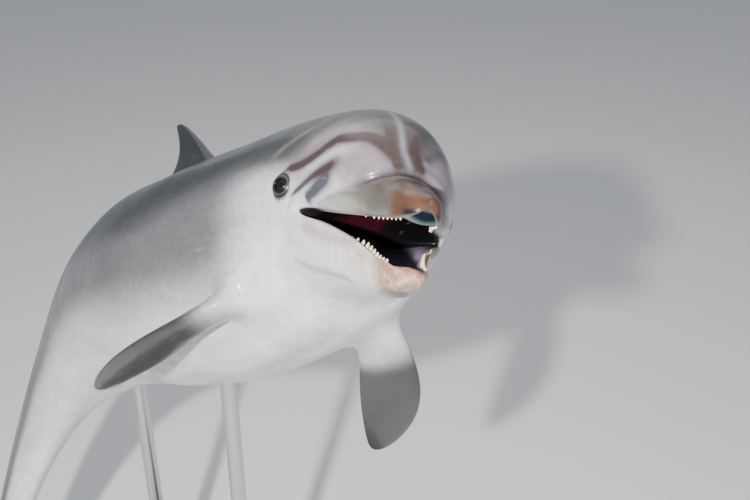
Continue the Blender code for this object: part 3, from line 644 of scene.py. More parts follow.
def under_bridle(middle, face):
    """Whether a face lies on the upper face, where the stripes run; inside the mouth doesn't count."""
    lips = through(LIP_UP, middle.x) - 0.004
    return 0.104 < middle.x < 0.290 and middle.z > lips and all(v[within] < 0.02 for v in face.verts)


within = body.verts.layers.float["inside"]
refine(body, under_bridle)
for side in eyes:
    print("eyelids take the place of", eyelids(body, side), "faces")

# %% [markdown]
# ## Folds
#
# The finer forms are drawn onto the skin as strokes. A stroke is a line laid over the body by a few
# places, each given as (back, degrees down from the back), and it pushes the skin in or out near it.
# The same strokes serve for colour later, so the shade painted into a crease always falls on it.

# %% Strokes over the body
LINE_STEPS = 10                 # straight pieces between two places of a line
BLOWHOLE_BACK = 0.352
for radius in (0.055, 0.036):
    refine_round(body, Vector((BLOWHOLE_BACK, 0.0, through(TOP, BLOWHOLE_BACK))), radius)
body.normal_update()
place = np.array([v.co for v in body.verts])
normal = np.array([v.normal for v in body.verts])
opening, inside, lower, span = (np.array([v[body.verts.layers.float[name]] for v in body.verts])
                                for name in KEPT)

# where each point was before the mouth opened
back_shut, up_shut = swung(place[:, 0], place[:, 2], -opening)
shut = np.stack([back_shut, place[:, 1], up_shut], axis=1)
back_of, side_of, up_of = shut.T
widest_at = np.interp(back_of, *zip(*WIDEST_UP))
down_from_back = np.degrees(np.arctan2(np.abs(side_of), up_of - widest_at))


def towards(back, down):
    """(left, up) of the section's outline as seen from its middle, some degrees down from the back."""
    aim, reach = math.radians(down), reach_of(back, down < 90)[1]
    side = (abs(math.sin(aim)) / through(HALF_WIDTH, back)) ** (rounding(back) / 2)
    rise = (abs(math.cos(aim)) / max(reach, 1e-6)) ** (rounding(back) / 2)
    return on_section(back, math.atan2(side, math.copysign(rise, math.cos(aim))))


def line_over(points, side):
    """A smooth line over one side of the body through (back, degrees down from the back)."""
    stations = np.linspace(0, len(points) - 1, LINE_STEPS * (len(points) - 1) + 1)
    line = []
    for s in stations:
        back, down = (through([(i, p[k]) for i, p in enumerate(points)], s) for k in (0, 1))
        left, up = towards(back, down)
        line.append((back, side * left, up))
    return np.array(line)


def near_line(line):
    """For every point: its distance to the line, and how far along the line that is, from 0 to 1."""
    best, along = np.full(len(shut), 9.0), np.zeros(len(shut))
    for i in range(len(line) - 1):
        start, way = line[i], line[i + 1] - line[i]
        t = np.clip(((shut - start) @ way) / (way @ way), 0.0, 1.0)
        gap = np.linalg.norm(shut - start - t[:, None] * way, axis=1)
        closer = gap < best
        best[closer] = gap[closer]
        along[closer] = (i + t[closer]) / (len(line) - 1)
    return best, along


def stroke(points, width, sides=(-1, 1), fade=(0.12, 0.12)):
    """A soft band along a line, 1 in its middle; width is one value or (at the start, at the end), and
    fade is over how much of the line the band comes in and goes out."""
    first, last = width if isinstance(width, tuple) else (width, width)
    band = np.zeros(len(shut))
    for side in sides:
        gap, along = near_line(line_over(points, side))
        wide = first + (last - first) * along
        one = near(gap, 0.0, wide)
        if fade[0]:
            one *= ease(0.0, fade[0], along)
        if fade[1]:
            one *= ease(0.0, fade[1], 1 - along)
        band = np.maximum(band, one)
    return band * (1 - inside)


lower_skin = (lower > 0.5) * (1 - inside)
CREASE = [(0.109, 0.0), (0.111, 32.0), (0.120, 60.0), (0.142, 84.0), (0.178, 100.0), (0.225, 106.0)]
crease = stroke(CREASE, (0.0045, 0.010), fade=(0.0, 0.5))
lip_line = []
for back in (0.262, 0.22, 0.17, 0.11, 0.06, 0.02):
    left, up = on_section(back, lip_angle(back))
    lip_line.append((back, math.degrees(math.atan2(left, up - through(WIDEST_UP, back)))))
upper_lip = stroke([(b, a - 9.0) for b, a in lip_line], 0.0055)
lower_lip = stroke([(b, a + 9.0) for b, a in lip_line], 0.0060)
jaw_fold = stroke([(0.330, 138.0), (0.270, 146.0), (0.200, 152.0), (0.140, 158.0)], (0.010, 0.007))
FOLDS = [(crease, -0.0050),
         (stroke([(b + 0.004, a * 0.93) for b, a in CREASE[:4]], 0.009, fade=(0.0, 0.4)), 0.0020),
         (upper_lip * (lower < 0.5), 0.0014), (lower_lip * (lower > 0.5), 0.0018),
         (stroke([(0.286, 97.0), (0.300, 101.0), (0.315, 110.0)], 0.0040), -0.0016),
         (stroke([(0.300, 118.0), (0.360, 132.0), (0.400, 150.0)], 0.014), -0.0030),
         (jaw_fold, -0.0045),
         (stroke([(0.372, 88.0), (0.374, 89.0)], 0.0022, fade=(0.0, 0.0)), -0.0022),
         (lower_skin * near(back_of, 0.068, 0.014), -0.0030)]
for band, depth in FOLDS:
    place += normal * (band * depth)[:, None]
print("folds move the skin by up to", round(1000 * max(abs(d) * b.max() for b, d in FOLDS), 1), "mm")

# %% [markdown]
# The blowhole is a crescent across the top of the head, its horns pointing forward, with a raised rim.
# On the belly are the navel and the long slit behind it, which every dolphin has.

# %% The blowhole, the navel and the slit
RIM_HEIGHT, BLOWHOLE_DEPTH, NAVEL_DEPTH, SLIT_DEPTH = 0.0022, 0.0065, 0.0040, 0.0038
BLOWHOLE = [(BLOWHOLE_BACK - 0.010, 13.0), (BLOWHOLE_BACK - 0.004, 9.0), (BLOWHOLE_BACK, 4.0),
            (BLOWHOLE_BACK + 0.001, 0.0)]
blowhole = stroke(BLOWHOLE, 0.0032, fade=(0.2, 0.0))
blowhole_rim = stroke(BLOWHOLE, 0.0090, fade=(0.2, 0.0)) - blowhole
navel = stroke([(1.190, 180.0), (1.206, 180.0)], 0.0060, sides=(1,), fade=(0.0, 0.0))
slit = stroke([(1.400, 180.0), (1.520, 180.0)], 0.0050, sides=(1,))
place += normal * (RIM_HEIGHT * blowhole_rim - BLOWHOLE_DEPTH * blowhole
                   - NAVEL_DEPTH * navel - SLIT_DEPTH * slit)[:, None]
print("the blowhole sinks", round(1000 * BLOWHOLE_DEPTH * blowhole.max(), 1), "mm")

# %% [markdown]
# Inside the mouth the teeth stand on a ridge of gum along each jaw, and the palate has low cross ridges.
# Only points inside the mouth are moved.

# %% Gums and palate
TOOTH_LINE = 0.86               # how far out towards the lip the teeth stand
GUM_HEIGHT, RIDGE_HEIGHT, RIDGE_SPACING = 0.0022, 0.0006, 0.011
palate = (inside > 0.35) & (lower < 0.3)
lip_half_width = np.array([on_section(b, lip_angle(b))[0] if b < 0.3 else 0.2 for b in back_of])
across_mouth = np.abs(side_of) / np.maximum(lip_half_width, 0.004)
gum = near(across_mouth, TOOTH_LINE, 0.075) * (inside > 0.2)
gum *= ease(0.012, 0.035, back_of) * ease(0.245, 0.215, back_of)
ridges = np.sin(back_of * 2 * math.pi / RIDGE_SPACING) * (across_mouth < 0.62) * palate * RIDGE_HEIGHT
place[:, 2] += np.where(lower > 0.5, 1.0, -1.0) * gum * GUM_HEIGHT
place += normal * ridges[:, None]
print("gums run along", int((gum > 0.5).sum()), "points")

# %% [markdown]
# ## Markings
#
# The colours are worked out for every point and kept as an attribute of the mesh. A painted texture
# could hold them too, but it would need an unwrap with seams. What is dark or light depends on how far
# round the body a point lies: a dark cape over the back, paler flanks, and a white belly. On the head is
# a bridle: a brown stripe from the eye over the forehead, a second one from the eye to the beak above a
# blue-grey patch, and a light line down the middle of the forehead between two dark bands.

# %% The colours of the coat
CAPE, FLANK, BELLY = (0.026, 0.031, 0.034), (0.150, 0.148, 0.160), (0.74, 0.71, 0.70)
FIN, FACE, CHEEK = (0.016, 0.018, 0.021), (0.30, 0.26, 0.29), (0.80, 0.76, 0.76)
BROWN, BLUE_GREY, SAGE = (0.060, 0.040, 0.036), (0.078, 0.088, 0.108), (0.098, 0.090, 0.072)
ORANGE, PINK, CREAM = (0.118, 0.050, 0.025), (0.46, 0.205, 0.125), (0.76, 0.68, 0.52)
DARK, PALE, LIP_EDGE = (0.006, 0.006, 0.007), (0.66, 0.65, 0.70), (0.24, 0.31, 0.27)
PALATE, FLOOR_OF_MOUTH, GUM = (0.095, 0.006, 0.018), (0.400, 0.320, 0.460), (0.62, 0.48, 0.33)
TEAL, ROSE, PAINTED_SHADE_BLUE = (0.010, 0.040, 0.044), (0.30, 0.21, 0.20), (0.006, 0.010, 0.017)
MELON = (0.058, 0.056, 0.058)

colour = np.zeros((len(place), 3))


def paint(tone, amount):
    """Lays a colour over the skin where amount is above 0."""
    share = np.clip(amount, 0.0, 1.0)[:, None]
    colour[:] = colour * (1 - share) + np.array(tone) * share


cape_edge = 66.0 + 14.0 * ease(0.5, 1.0, back_of) - 12.0 * ease(1.6, 2.2, back_of)
melon_edge = np.interp(back_of, (0.12, 0.18, 0.252, 0.278, 0.325, 0.391),
                       (14.0, 26.0, 34.0, 44.0, 55.0, 66.0))
paint(FLANK, np.ones(len(place)))
paint(BELLY, ease(104.0, 138.0, down_from_back))
paint(CAPE, ease(14.0, -12.0, down_from_back - cape_edge))
paint(CHEEK, ease(0.62, 0.34, back_of) * ease(66.0, 84.0, down_from_back))
paint(FACE, ease(0.38, 0.27, back_of) * ease(100.0, 74.0, down_from_back) * 0.85)
paint(MELON, ease(0.42, 0.32, back_of) * ease(12.0, -10.0, down_from_back - melon_edge) * 0.92)
paint(CHEEK, (lower > 0.05) * ease(0.62, 0.30, back_of) * (1 - inside) * 0.85)
print("the coat runs from", np.round(colour.min(0), 2), "to", np.round(colour.max(0), 2))

# %% [markdown]
# Each stripe of the bridle is one stroke with its own width and strength. They overlap softly, as the
# pigment does, and fade at their ends.

# %% The bridle and the beak
EYE_STRIPE = [(0.330, 79.0), (0.322, 76.0), (0.300, 75.0), (0.279, 73.0), (0.246, 66.0), (0.225, 57.0),
              (0.210, 50.0), (0.185, 45.0), (0.166, 37.0), (0.147, 29.0), (0.131, 21.0), (0.124, 14.0)]
GAPE_STRIPE = [(0.294, 96.0), (0.263, 91.0), (0.233, 84.0), (0.206, 78.0), (0.188, 73.0), (0.162, 67.0)]
BLUE_PATCH = [(0.242, 102.0), (0.220, 96.0), (0.204, 90.0), (0.188, 83.0), (0.170, 77.0)]
BANDS_AT = 0.012                # how far right of the midline the forehead's bands lie
paint(PALE, stroke([(0.300, 61.0), (0.258, 53.0), (0.225, 42.0), (0.190, 33.0)], (0.012, 0.009)) * 0.15)
paint(ROSE, stroke([(0.420, 71.0), (0.378, 57.0), (0.345, 46.0), (0.300, 34.0)], 0.008,
                   fade=(0.2, 0.4)) * 0.6)
paint(PALE, stroke([(0.286, 82.0), (0.246, 76.0), (0.212, 67.0), (0.180, 57.0), (0.150, 47.0)],
                   (0.006, 0.014), fade=(0.15, 0.35)) * 0.65)
paint(BROWN, stroke(EYE_STRIPE, (0.0065, 0.0125), fade=(0.0, 0.06)) * np.where(side_of < 0, 2.0, 0.7))

from_line = side_of + BANDS_AT * ease(0.105, 0.135, back_of)
on_melon = ease(0.106, 0.116, back_of) * ease(0.34, 0.24, back_of) * (down_from_back < 70) * (1 - inside)
paint(BROWN, near(np.abs(from_line), 0.0165, 0.0085) * on_melon * 1.6)
paint(PALE, near(from_line, 0.0, 0.0048) * on_melon * 0.28)
left_of_bands = on_melon * ease(0.0, 0.015, side_of) * ease(0.080, 0.045, side_of)
paint(MELON, left_of_bands * ease(0.14, 0.20, back_of) * 0.6)

beak_edge = np.interp(down_from_back, (0.0, 30.0, 58.0, 85.0, 97.0, 108.0),
                      (0.106, 0.108, 0.116, 0.137, 0.168, 0.215))
on_beak = ease(0.010, -0.012, back_of - beak_edge) * (1 - inside) * (lower < 0.5)
paint(SAGE, on_beak * 0.92)
paint(CHEEK, on_beak * ease(0.10, 0.18, back_of) * ease(84.0, 100.0, down_from_back) * 0.50)
paint(BROWN, on_beak * ease(-0.034, -0.006, back_of - beak_edge) * ease(80.0, 50.0, down_from_back) * 0.80)
paint(BLUE_GREY, stroke(BLUE_PATCH, (0.012, 0.022), fade=(0.10, 0.40)) * 1.4)
paint(BROWN, stroke(GAPE_STRIPE, (0.0030, 0.0140), fade=(0.03, 0.30)) * 1.4)
paint(BLUE_GREY, stroke(GAPE_STRIPE, (0.0050, 0.0100), fade=(0.0, 0.5)) * ease(0.215, 0.25, back_of) * 0.6)
patches = 0.5 + 0.5 * np.sin(side_of * 330 + 2 * np.sin(back_of * 250)) * np.sin((back_of + up_of) * 300)
tip_edge = 0.058 + 0.010 * np.sin(side_of * 210 + 0.8)
paint(ORANGE, on_beak * ease(0.022, -0.018, back_of - tip_edge) * 0.95)
# the tip's brown is partly real mottle and partly painted shade, darker towards the tip's left side
tip_mottle_and_shade = np.maximum(patches ** 2 * 0.45, ease(0.004, 0.026, side_of) * 0.7)
paint(BROWN, on_beak * ease(0.010, -0.014, back_of - tip_edge) * tip_mottle_and_shade)
# painted shade: the underside of the beak's tip is darkened to a blue black
paint(PAINTED_SHADE_BLUE, on_beak * ease(0.030, 0.012, back_of) * ease(70.0, 92.0, down_from_back) * 0.95)
paint(LIP_EDGE, upper_lip * (lower < 0.5) * ease(0.20, 0.12, back_of) * ease(0.030, 0.060, back_of) * 0.30)
# painted shade: the crease between the beak and the melon is darkened, and the fold under the lower jaw
# greyed
paint(DARK, crease * 0.55)
paint(FLANK, jaw_fold * 0.55)
lower_tip = lower_skin * ease(0.080, 0.035, back_of)
paint(ROSE, stroke([(b, a + 11.0) for b, a in lip_line], (0.010, 0.006)) * (lower > 0.1) * 0.55)
paint(CREAM, lower_skin * ease(0.140, 0.080, back_of) * 0.55)
paint(PINK, lower_tip * (0.65 + 0.35 * patches))
paint(CREAM, lower_tip * (patches < 0.5) * (0.5 - patches) * 0.9)
# painted shade: the underside of the lower jaw near its tip is greyed
paint(FLANK, lower_skin * ease(0.11, 0.06, back_of) * ease(138.0, 172.0, down_from_back) * 0.75)
# painted shade in the hollows of the blowhole, the navel and the slit
paint(DARK, blowhole * 0.9)
paint(DARK, np.maximum(navel, slit) * 0.35)
print("the bridle covers", int((stroke(EYE_STRIPE, 0.01) > 0.5).sum()), "points")

# %% [markdown]
# Round the eye the lids are nearly black at their rim, with a grey ring between two folds and a pale
# halo where the mound meets the cheek. Inside the mouth the palate is a deep maroon and the floor is a
# purple grey; painted shade darkens the deep back of the mouth, its corners, its far side and the front
# of its roof. The fins are dark on both sides, and fade into the coat at their roots.

# %% Lids, mouth and fins
EYE_REACH, LID_FLATNESS = 0.06, 1.07
from_eye, behind_eye = np.full(len(shut), 9.0), np.zeros(len(shut))
for side in eyes:
    offset = shut - (EYE_BACK, side * EYE_APART, 0.0)
    in_reach = np.linalg.norm(offset, axis=1) < EYE_REACH
    behind = offset @ np.array(eye_axes(side, EYE_TILT)[0])
    behind_eye[in_reach] = behind[in_reach]
    from_eye[in_reach] = np.hypot(behind, offset[:, 2] * LID_FLATNESS)[in_reach]

paint(CHEEK, near(from_eye, 0.036, 0.008) * ease(0.010, -0.010, up_of) * 0.60)
paint(ROSE, near(from_eye, 0.0235, 0.0032) * ease(-0.004, 0.010, up_of) * 0.85)
paint(BLUE_GREY, near(from_eye, 0.0250, 0.0040) * ease(0.0, -0.012, up_of) * 0.60)
paint(DARK, ease(0.0240, 0.0205, from_eye) * 0.95)
paint(DARK, ease(0.0285, 0.0235, from_eye) * ease(0.002, -0.010, up_of) * 0.75)
paint(FLANK, near(from_eye, 0.0166, 0.0011) * 0.45)
paint(TEAL, near(from_eye, 0.0165, 0.0030) * ease(0.0, 0.012, behind_eye) * 0.4)
paint(DARK, ease(0.0152, 0.0138, from_eye))

roof, bed, within_mouth = inside * (lower < 0.5), inside * (lower >= 0.5), inside > 0.01
paint(PALATE, roof * ease(0.045, 0.065, back_of))
paint(FLOOR_OF_MOUTH, bed * ease(0.040, 0.060, back_of))
# painted shade: the deep back of the mouth, where its linings meet, and its far left side are darkened
paint(DARK, inside * near(lower, 0.5, 0.13))
paint(DARK, inside * (lower < 0.6) * ease(0.028, 0.055, np.abs(side_of)) * ease(0.14, 0.20, back_of) * 0.80)
paint(DARK, within_mouth * (lower < 0.5) * ease(0.012, 0.030, side_of) * ease(0.055, 0.075, back_of) * 0.9)
paint(DARK, inside * ease(0.20, 0.30, back_of) * 0.60)
# painted shade: the front of the roof, under the beak's tip, is darkened to a blue black
paint(PAINTED_SHADE_BLUE, roof * ease(0.055, 0.035, back_of))
paint(LIP_EDGE, roof * near(back_of, 0.019, 0.006) * 0.8)
paint(PINK, bed * ease(0.056, 0.034, back_of) * (0.6 + 0.4 * patches))
paint(GUM, gum * np.where(lower > 0.5, 0.95, 0.15))
# painted shade: the mouth's corners and its far left side are darkened again, over the gums
paint(DARK, within_mouth * ease(0.60, 0.85, across_mouth) * ease(0.185, 0.225, back_of) * 0.95)
paint(DARK, within_mouth * (lower < 0.7) * ease(0.010, 0.045, side_of) * ease(0.14, 0.20, back_of) * 0.95)

paint(FIN, ease(0.02, 0.24, span) * 0.95)
print("the coat is painted on", len(colour), "points")

# %% [markdown]
# Last, every point is carried onto the bent spine. A fin doesn't bend with the trunk: near its root its
# points follow the spine, and 7 cm further out they follow the root alone.

# %% Bending the skin into the pose
FIN_ROOT = 0.07                 # how far from its root a fin still gives with the spine


def stiffness_of(bm):
    """For each point, its fin's station and how stiffly it follows it; 0 is not at all."""
    station, share = np.zeros(len(bm.verts)), np.zeros(len(bm.verts))
    bm.verts.index_update()
    for number, fin in enumerate(FINS.values(), start=1):
        own = {v for f in bm.faces if f.material_index == number for v in f.verts}
        rim = [v for v in own if any(f.material_index == 0 for f in v.link_faces)]
        tree = kdtree.KDTree(len(rim))
        for i, v in enumerate(rim):
            tree.insert(v.co, i)
        tree.balance()
        for v in own:
            station[v.index] = fin["station"]
            share[v.index] = ease(0.0, FIN_ROOT, tree.find(v.co)[2])
    return station, share


station, share = stiffness_of(body)
for v in body.verts:
    point = Vector(place[v.index])
    v.co = bent(point)
    if share[v.index]:
        v.co = v.co.lerp(held(point, station[v.index]), share[v.index])
face_outwards(body)
for face in body.faces:
    face.material_index = 0
print("lowest point of the skin is", round(min(v.co.z for v in body.verts), 3), "m up")

# %% [markdown]
# The mesh keeps three attributes: the colours, each point's place on the straight body, which lets the
# fine pattern in the material run along the animal, and whether the point lines the mouth.

# %% The skin piece


def add_piece(name, bm):
    """A smooth-shaded mesh object from a bmesh."""
    mesh = bpy.data.meshes.new(name)
    bm.to_mesh(mesh)
    bm.free()
    mesh.shade_smooth()
    return add_object(name, mesh)


def keep(store, name, kind, field, values):
    """Adds an attribute of some kind to a mesh's store of them, with a value for each point."""
    store.new(name, kind, "POINT").data.foreach_set(field, np.asarray(values, np.float32).ravel())


def keep_colours(obj, tones):
    """Stores one opaque colour for each point of a piece."""
    keep(obj.data.color_attributes, "markings", "FLOAT_COLOR", "color",
         np.column_stack([tones, np.ones(len(tones))]))


skin = add_piece("skin", body)
keep_colours(skin, colour)
keep(skin.data.attributes, "straight_place", "FLOAT_VECTOR", "vector", shut)
keep(skin.data.attributes, "mouth_lining", "FLOAT", "value", inside)
print("the skin has", sum(len(p.vertices) - 2 for p in skin.data.polygons), "triangles")

# %% [markdown]
# ## Eyes, teeth and tongue
#
# The eyeball is a sphere with a dark brown iris, and a dolphin's pupil is a wide dark oval. The colour
# again goes by point, measured from the eye's own axis, so it needs no unwrap.

# %% The eyeballs
IRIS, PUPIL, GLINT = (0.014, 0.010, 0.009), (0.002, 0.002, 0.002), (0.005, 0.014, 0.016)


def eyeball(name, side):
    """A finely divided eyeball, painted round its own axis."""
    bm = bmesh.new()
    bmesh.ops.create_uvsphere(bm, u_segments=48, v_segments=32, radius=EYE_RADIUS)
    beside, ahead = eye_axes(side, EYE_TILT)
    tones = []
    for v in bm.verts:
        along, across = v.co.dot(ahead), math.hypot(v.co.dot(beside), v.co.z * 1.4)
        tone = np.array(IRIS)
        if along > 0:
            rim = ease(0.0075, 0.0098, across)
            tone = tone * (1 - rim) + np.array(GLINT) * rim
            tone = tone + (np.array(PUPIL) - tone) * ease(0.0084, 0.0068, across)
        tones.append(tone)
        v.co = bent(Vector((EYE_BACK, side * EYE_APART, 0.0)) + v.co)
    face_outwards(bm)
    obj = add_piece(name, bm)
    keep_colours(obj, np.array(tones))
    return obj


eyeballs = {side: eyeball(name, side) for name, side in (("left_eyeball", 1), ("right_eyeball", -1))}
print("eyeballs", [o.name for o in eyeballs.values()])

# %% [markdown]
# The teeth are pegs of one form, in one row along each gum. A peg is a short stack of rings grown from a
# circle, each smaller than the last, and it leans a little inwards. One loop sets them along both jaws.

# %% The teeth
LOWER_TEETH = dict(count=18, front=0.040, rear=0.220, long=0.0068, wide=0.0033, upper=False)
UPPER_TEETH = dict(count=7, front=0.030, rear=0.104, long=0.0040, wide=0.0023, upper=True)
REAR_TEETH = dict(count=8, front=0.120, rear=0.210, long=0.0050, wide=0.0025, upper=True)
PEG = [(0.0, 1.0), (0.30, 0.96), (0.60, 0.80), (0.84, 0.52), (0.96, 0.24)]
PEG_SIDES, PEG_ROOT, PEG_LEAN = 10, 0.006, 0.12
TEETH_SINK = 0.009              # how far the gum draws the rear teeth in, behind the lips


def add_peg(bm, row, side, number):
    """One tooth of a row, standing on the gum."""
    back = row["front"] + (row["rear"] - row["front"]) * number / (row["count"] - 1)
    foot = mouth_point(back, side * TOOTH_LINE, row["upper"])
    long = row["long"] * (0.75 + 0.25 * math.sin(math.pi * (number + 1) / (row["count"] + 1)))
    rise, share = (-1, 0.0) if row["upper"] else (1, jaw_share(back, 1 - TOOTH_LINE ** 3))
    foot.z -= rise * TEETH_SINK * ease(0.10, 0.16, back)
    loop = bmesh.ops.create_circle(bm, segments=PEG_SIDES, radius=row["wide"])["verts"]
    flat = [v.co.copy() for v in loop]
    for step, (height, size) in enumerate(PEG):
        if step:
            loop = grow(bm, loop)
        up = -PEG_ROOT + (long + PEG_ROOT) * height
        for v, at in zip(loop, flat):
            point = foot + Vector((at.x * size, at.y * size - side * PEG_LEAN * max(up, 0.0), rise * up))
            v.co = bent(opened(point, share))
    bm.faces.new(loop)


def tooth_row(name, *rows):
    """All the teeth of one jaw, as one piece."""
    bm = bmesh.new()
    for row in rows:
        for side in (-1, 1):
            for number in range(row["count"]):
                add_peg(bm, row, side, number)
    for loop in open_loops(bm):
        bm.faces.new(loop)
    face_outwards(bm)
    return add_piece(name, bm)


teeth = [tooth_row("lower_teeth", LOWER_TEETH), tooth_row("upper_teeth", UPPER_TEETH, REAR_TEETH)]
print("teeth:", [(o.name, len(o.data.polygons)) for o in teeth])

# %% [markdown]
# The tongue is a long low pad with a groove down its middle and a fringe of small lobes along its front
# edge. It starts as a sphere and is pressed into shape.

# %% The tongue
TONGUE_REST, TONGUE_SIZE = Vector((0.165, 0.0, -0.074)), (0.085, 0.027, 0.012)


def make_tongue():
    """The tongue: a flattened sphere with a middle groove."""
    bm = bmesh.new()
    bmesh.ops.create_uvsphere(bm, u_segments=64, v_segments=32, radius=1.0)
    for v in bm.verts:
        groove = near(v.co.y, 0.0, 0.20) * ease(0.0, 0.5, v.co.z) * ease(0.9, 0.4, abs(v.co.x))
        lobes = 0.03 * math.sin(v.co.y * 22) * ease(0.5, 0.9, -v.co.x)
        point = Vector((v.co.x * (1 + lobes) * TONGUE_SIZE[0], v.co.y * TONGUE_SIZE[1],
                        (v.co.z - 0.45 * groove) * TONGUE_SIZE[2]))
        v.co = bent(opened(TONGUE_REST + point, 1.0))
    face_outwards(bm)
    return add_piece("tongue_pad", bm)


tongue = make_tongue()
print("tongue has", len(tongue.data.polygons), "faces")

# %% [markdown]
# ## Finishes
#
# Wet skin is smooth and has a thin film of water on it. The shader's coat gives that film its sharp
# highlights, over a softer skin underneath, and a little light passes into the skin. Fine noise varies
# the colour, small dark flecks gather in places, faint scratches lighten it, and pores raise the surface.

# %% A material in the making


class Finish:
    """A Principled material in the making, with methods that add nodes to it and wire them up."""

    def __init__(self, name, **inputs):
        self.material = bpy.data.materials.new(name)
        self.material.use_nodes = True
        self.tree = self.material.node_tree
        self.shader = self.tree.nodes["Principled BSDF"]
        self.shade(**inputs)

    def feed(self, made, **inputs):
        """Sets inputs of a node to plain values or other nodes' outputs; _6 means input number 6."""
        for key, value in inputs.items():
            socket = made.inputs[int(key[1:]) if key[1:].isdigit() else key.replace("_", " ")]
            if isinstance(value, bpy.types.NodeSocket):
                self.tree.links.new(value, socket)
            else:
                socket.default_value = (*value, 1.0) if socket.type == "RGBA" else value

    def shade(self, **inputs):
        """The same for the shader."""
        self.feed(self.shader, **inputs)

    def node(self, kind, settings=None, **inputs):
        """Adds a node with its settings and inputs, and gives back its outputs."""
        made = self.tree.nodes.new("ShaderNode" + kind)
        for key, value in (settings or {}).items():
            setattr(made, key, value)
        self.feed(made, **inputs)
        return made.outputs

    @cached_property
    def on_object(self):
        """The piece's own coordinates."""
        return self.node("TexCoord")["Object"]

    def kept(self, name, output):
        """An attribute that the mesh keeps for each point."""
        return self.node("Attribute", {"attribute_name": name})[output]

    def noise(self, scale, detail=4.0, source=None):
        """Noise over the piece's own coordinates, or over others."""
        return self.node("TexNoise", Vector=source or self.on_object, Scale=scale, Detail=detail,
                         Roughness=0.55)["Fac"]

    def ranged(self, value, low, high, new_low=0.0, new_high=1.0):
        """Maps a value from one range to another, and stops it at the ends."""
        return self.node("MapRange", Value=value, From_Min=low, From_Max=high, To_Min=new_low,
                         To_Max=new_high)["Result"]

    def mixed(self, share, under, over, blend="MIX"):
        """One colour over another."""
        settings = {"data_type": "RGBA", "blend_type": blend}
        return self.node("Mix", settings, Factor=share, _6=under, _7=over)[2]

    def times(self, a, b, operation="MULTIPLY"):
        """Arithmetic on two values."""
        return self.node("Math", {"operation": operation}, _0=a, _1=b)[0]

    def bumped(self, height, strength, distance):
        """Raises the surface by a height."""
        self.shade(Normal=self.node("Bump", Strength=strength, Distance=distance, Height=height)["Normal"])


def grained(name, noise, reach, tones, rough, bump, relief=None, **inputs):
    """A finish whose two tones, roughness and relief all follow one noise; relief may have its own."""
    finish = Finish(name, **inputs)
    grain = finish.ranged(finish.noise(*noise), *reach)
    finish.shade(Base_Color=finish.mixed(grain, *tones), Roughness=finish.ranged(grain, 0.0, 1.0, *rough))
    finish.bumped(finish.noise(*relief) if relief else grain, *bump)
    return finish.material


print("finishes can be made")

# %% The wet skin


def skin_finish():
    """Wet skin: the painted markings, broken up by noise, flecks, scratches and pores."""
    finish = Finish("wet_skin", Coat_Roughness=0.09, IOR=1.36, Subsurface_Weight=0.08,
                    Subsurface_Scale=0.006, Subsurface_Radius=(1.0, 0.55, 0.45))
    noise, ranged, mixed, times = finish.noise, finish.ranged, finish.mixed, finish.times
    straight = finish.kept("straight_place", "Vector")
    stretched = finish.node("Mapping", Vector=straight, Scale=(0.30, 1.0, 1.0))["Vector"]
    blotches = ranged(noise(14.0, 5.0, stretched), 0.32, 0.70, 0.80, 1.12)
    mottle = ranged(noise(85.0, 6.0), 0.30, 0.72, 0.86, 1.10)
    shade = times(blotches, mottle)
    grey = finish.node("CombineColor", Red=shade, Green=shade, Blue=shade)["Color"]
    tone = mixed(1.0, finish.kept("markings", "Color"), grey, "MULTIPLY")

    cells = finish.node("TexVoronoi", Vector=finish.on_object, Scale=260.0)["Distance"]
    gathered = ranged(noise(22.0, 2.0), 0.54, 0.64)
    flecks = times(ranged(cells, 0.30, 0.16), gathered)
    tone = mixed(times(flecks, 0.55), tone, (0.035, 0.024, 0.022))

    drawn_out = finish.node("Mapping", Vector=straight, Scale=(0.06, 1.0, 1.0),
                            Rotation=(0.2, 0.3, 0.35))["Vector"]
    scratches = ranged(noise(60.0, 2.0, drawn_out), 0.69, 0.74)
    tone = mixed(times(scratches, 0.12), tone, (0.40, 0.38, 0.39))

    wetness = ranged(noise(9.0, 3.0), 0.35, 0.65, 0.24, 0.40)
    in_mouth = finish.kept("mouth_lining", "Fac")
    finish.shade(Base_Color=tone, Roughness=times(wetness, times(in_mouth, 0.40), "ADD"),
                 Coat_Weight=ranged(in_mouth, 0.0, 1.0, 0.30, 0.0),
                 Specular_IOR_Level=ranged(in_mouth, 0.0, 1.0, 0.50, 0.03))
    finish.bumped(times(noise(420.0, 3.0), noise(40.0, source=stretched), "ADD"), 0.16, 0.0012)
    return finish.material


skin.data.materials.append(skin_finish())
print("skin finish has", len(skin.data.materials[0].node_tree.nodes), "nodes")

# %% [markdown]
# The eyes are the glossiest thing on the animal, the teeth are cream and a little worn, and the tongue
# is wet like the skin but more uneven.

# %% Eyes, teeth and tongue


def eye_finish():
    """A glossy eye, its iris broken by fine fibres."""
    finish = Finish("eye_gloss", Roughness=0.06, Coat_Weight=0.5, Coat_Roughness=0.02, IOR=1.38)
    fibres = finish.times(finish.ranged(finish.noise(900.0), 0.3, 0.7), 0.15)
    finish.shade(Base_Color=finish.mixed(fibres, finish.kept("markings", "Color"), (0.018, 0.012, 0.009)))
    return finish.material


def wear(piece, finish):
    """Gives a piece its finish."""
    piece.data.materials.append(finish)


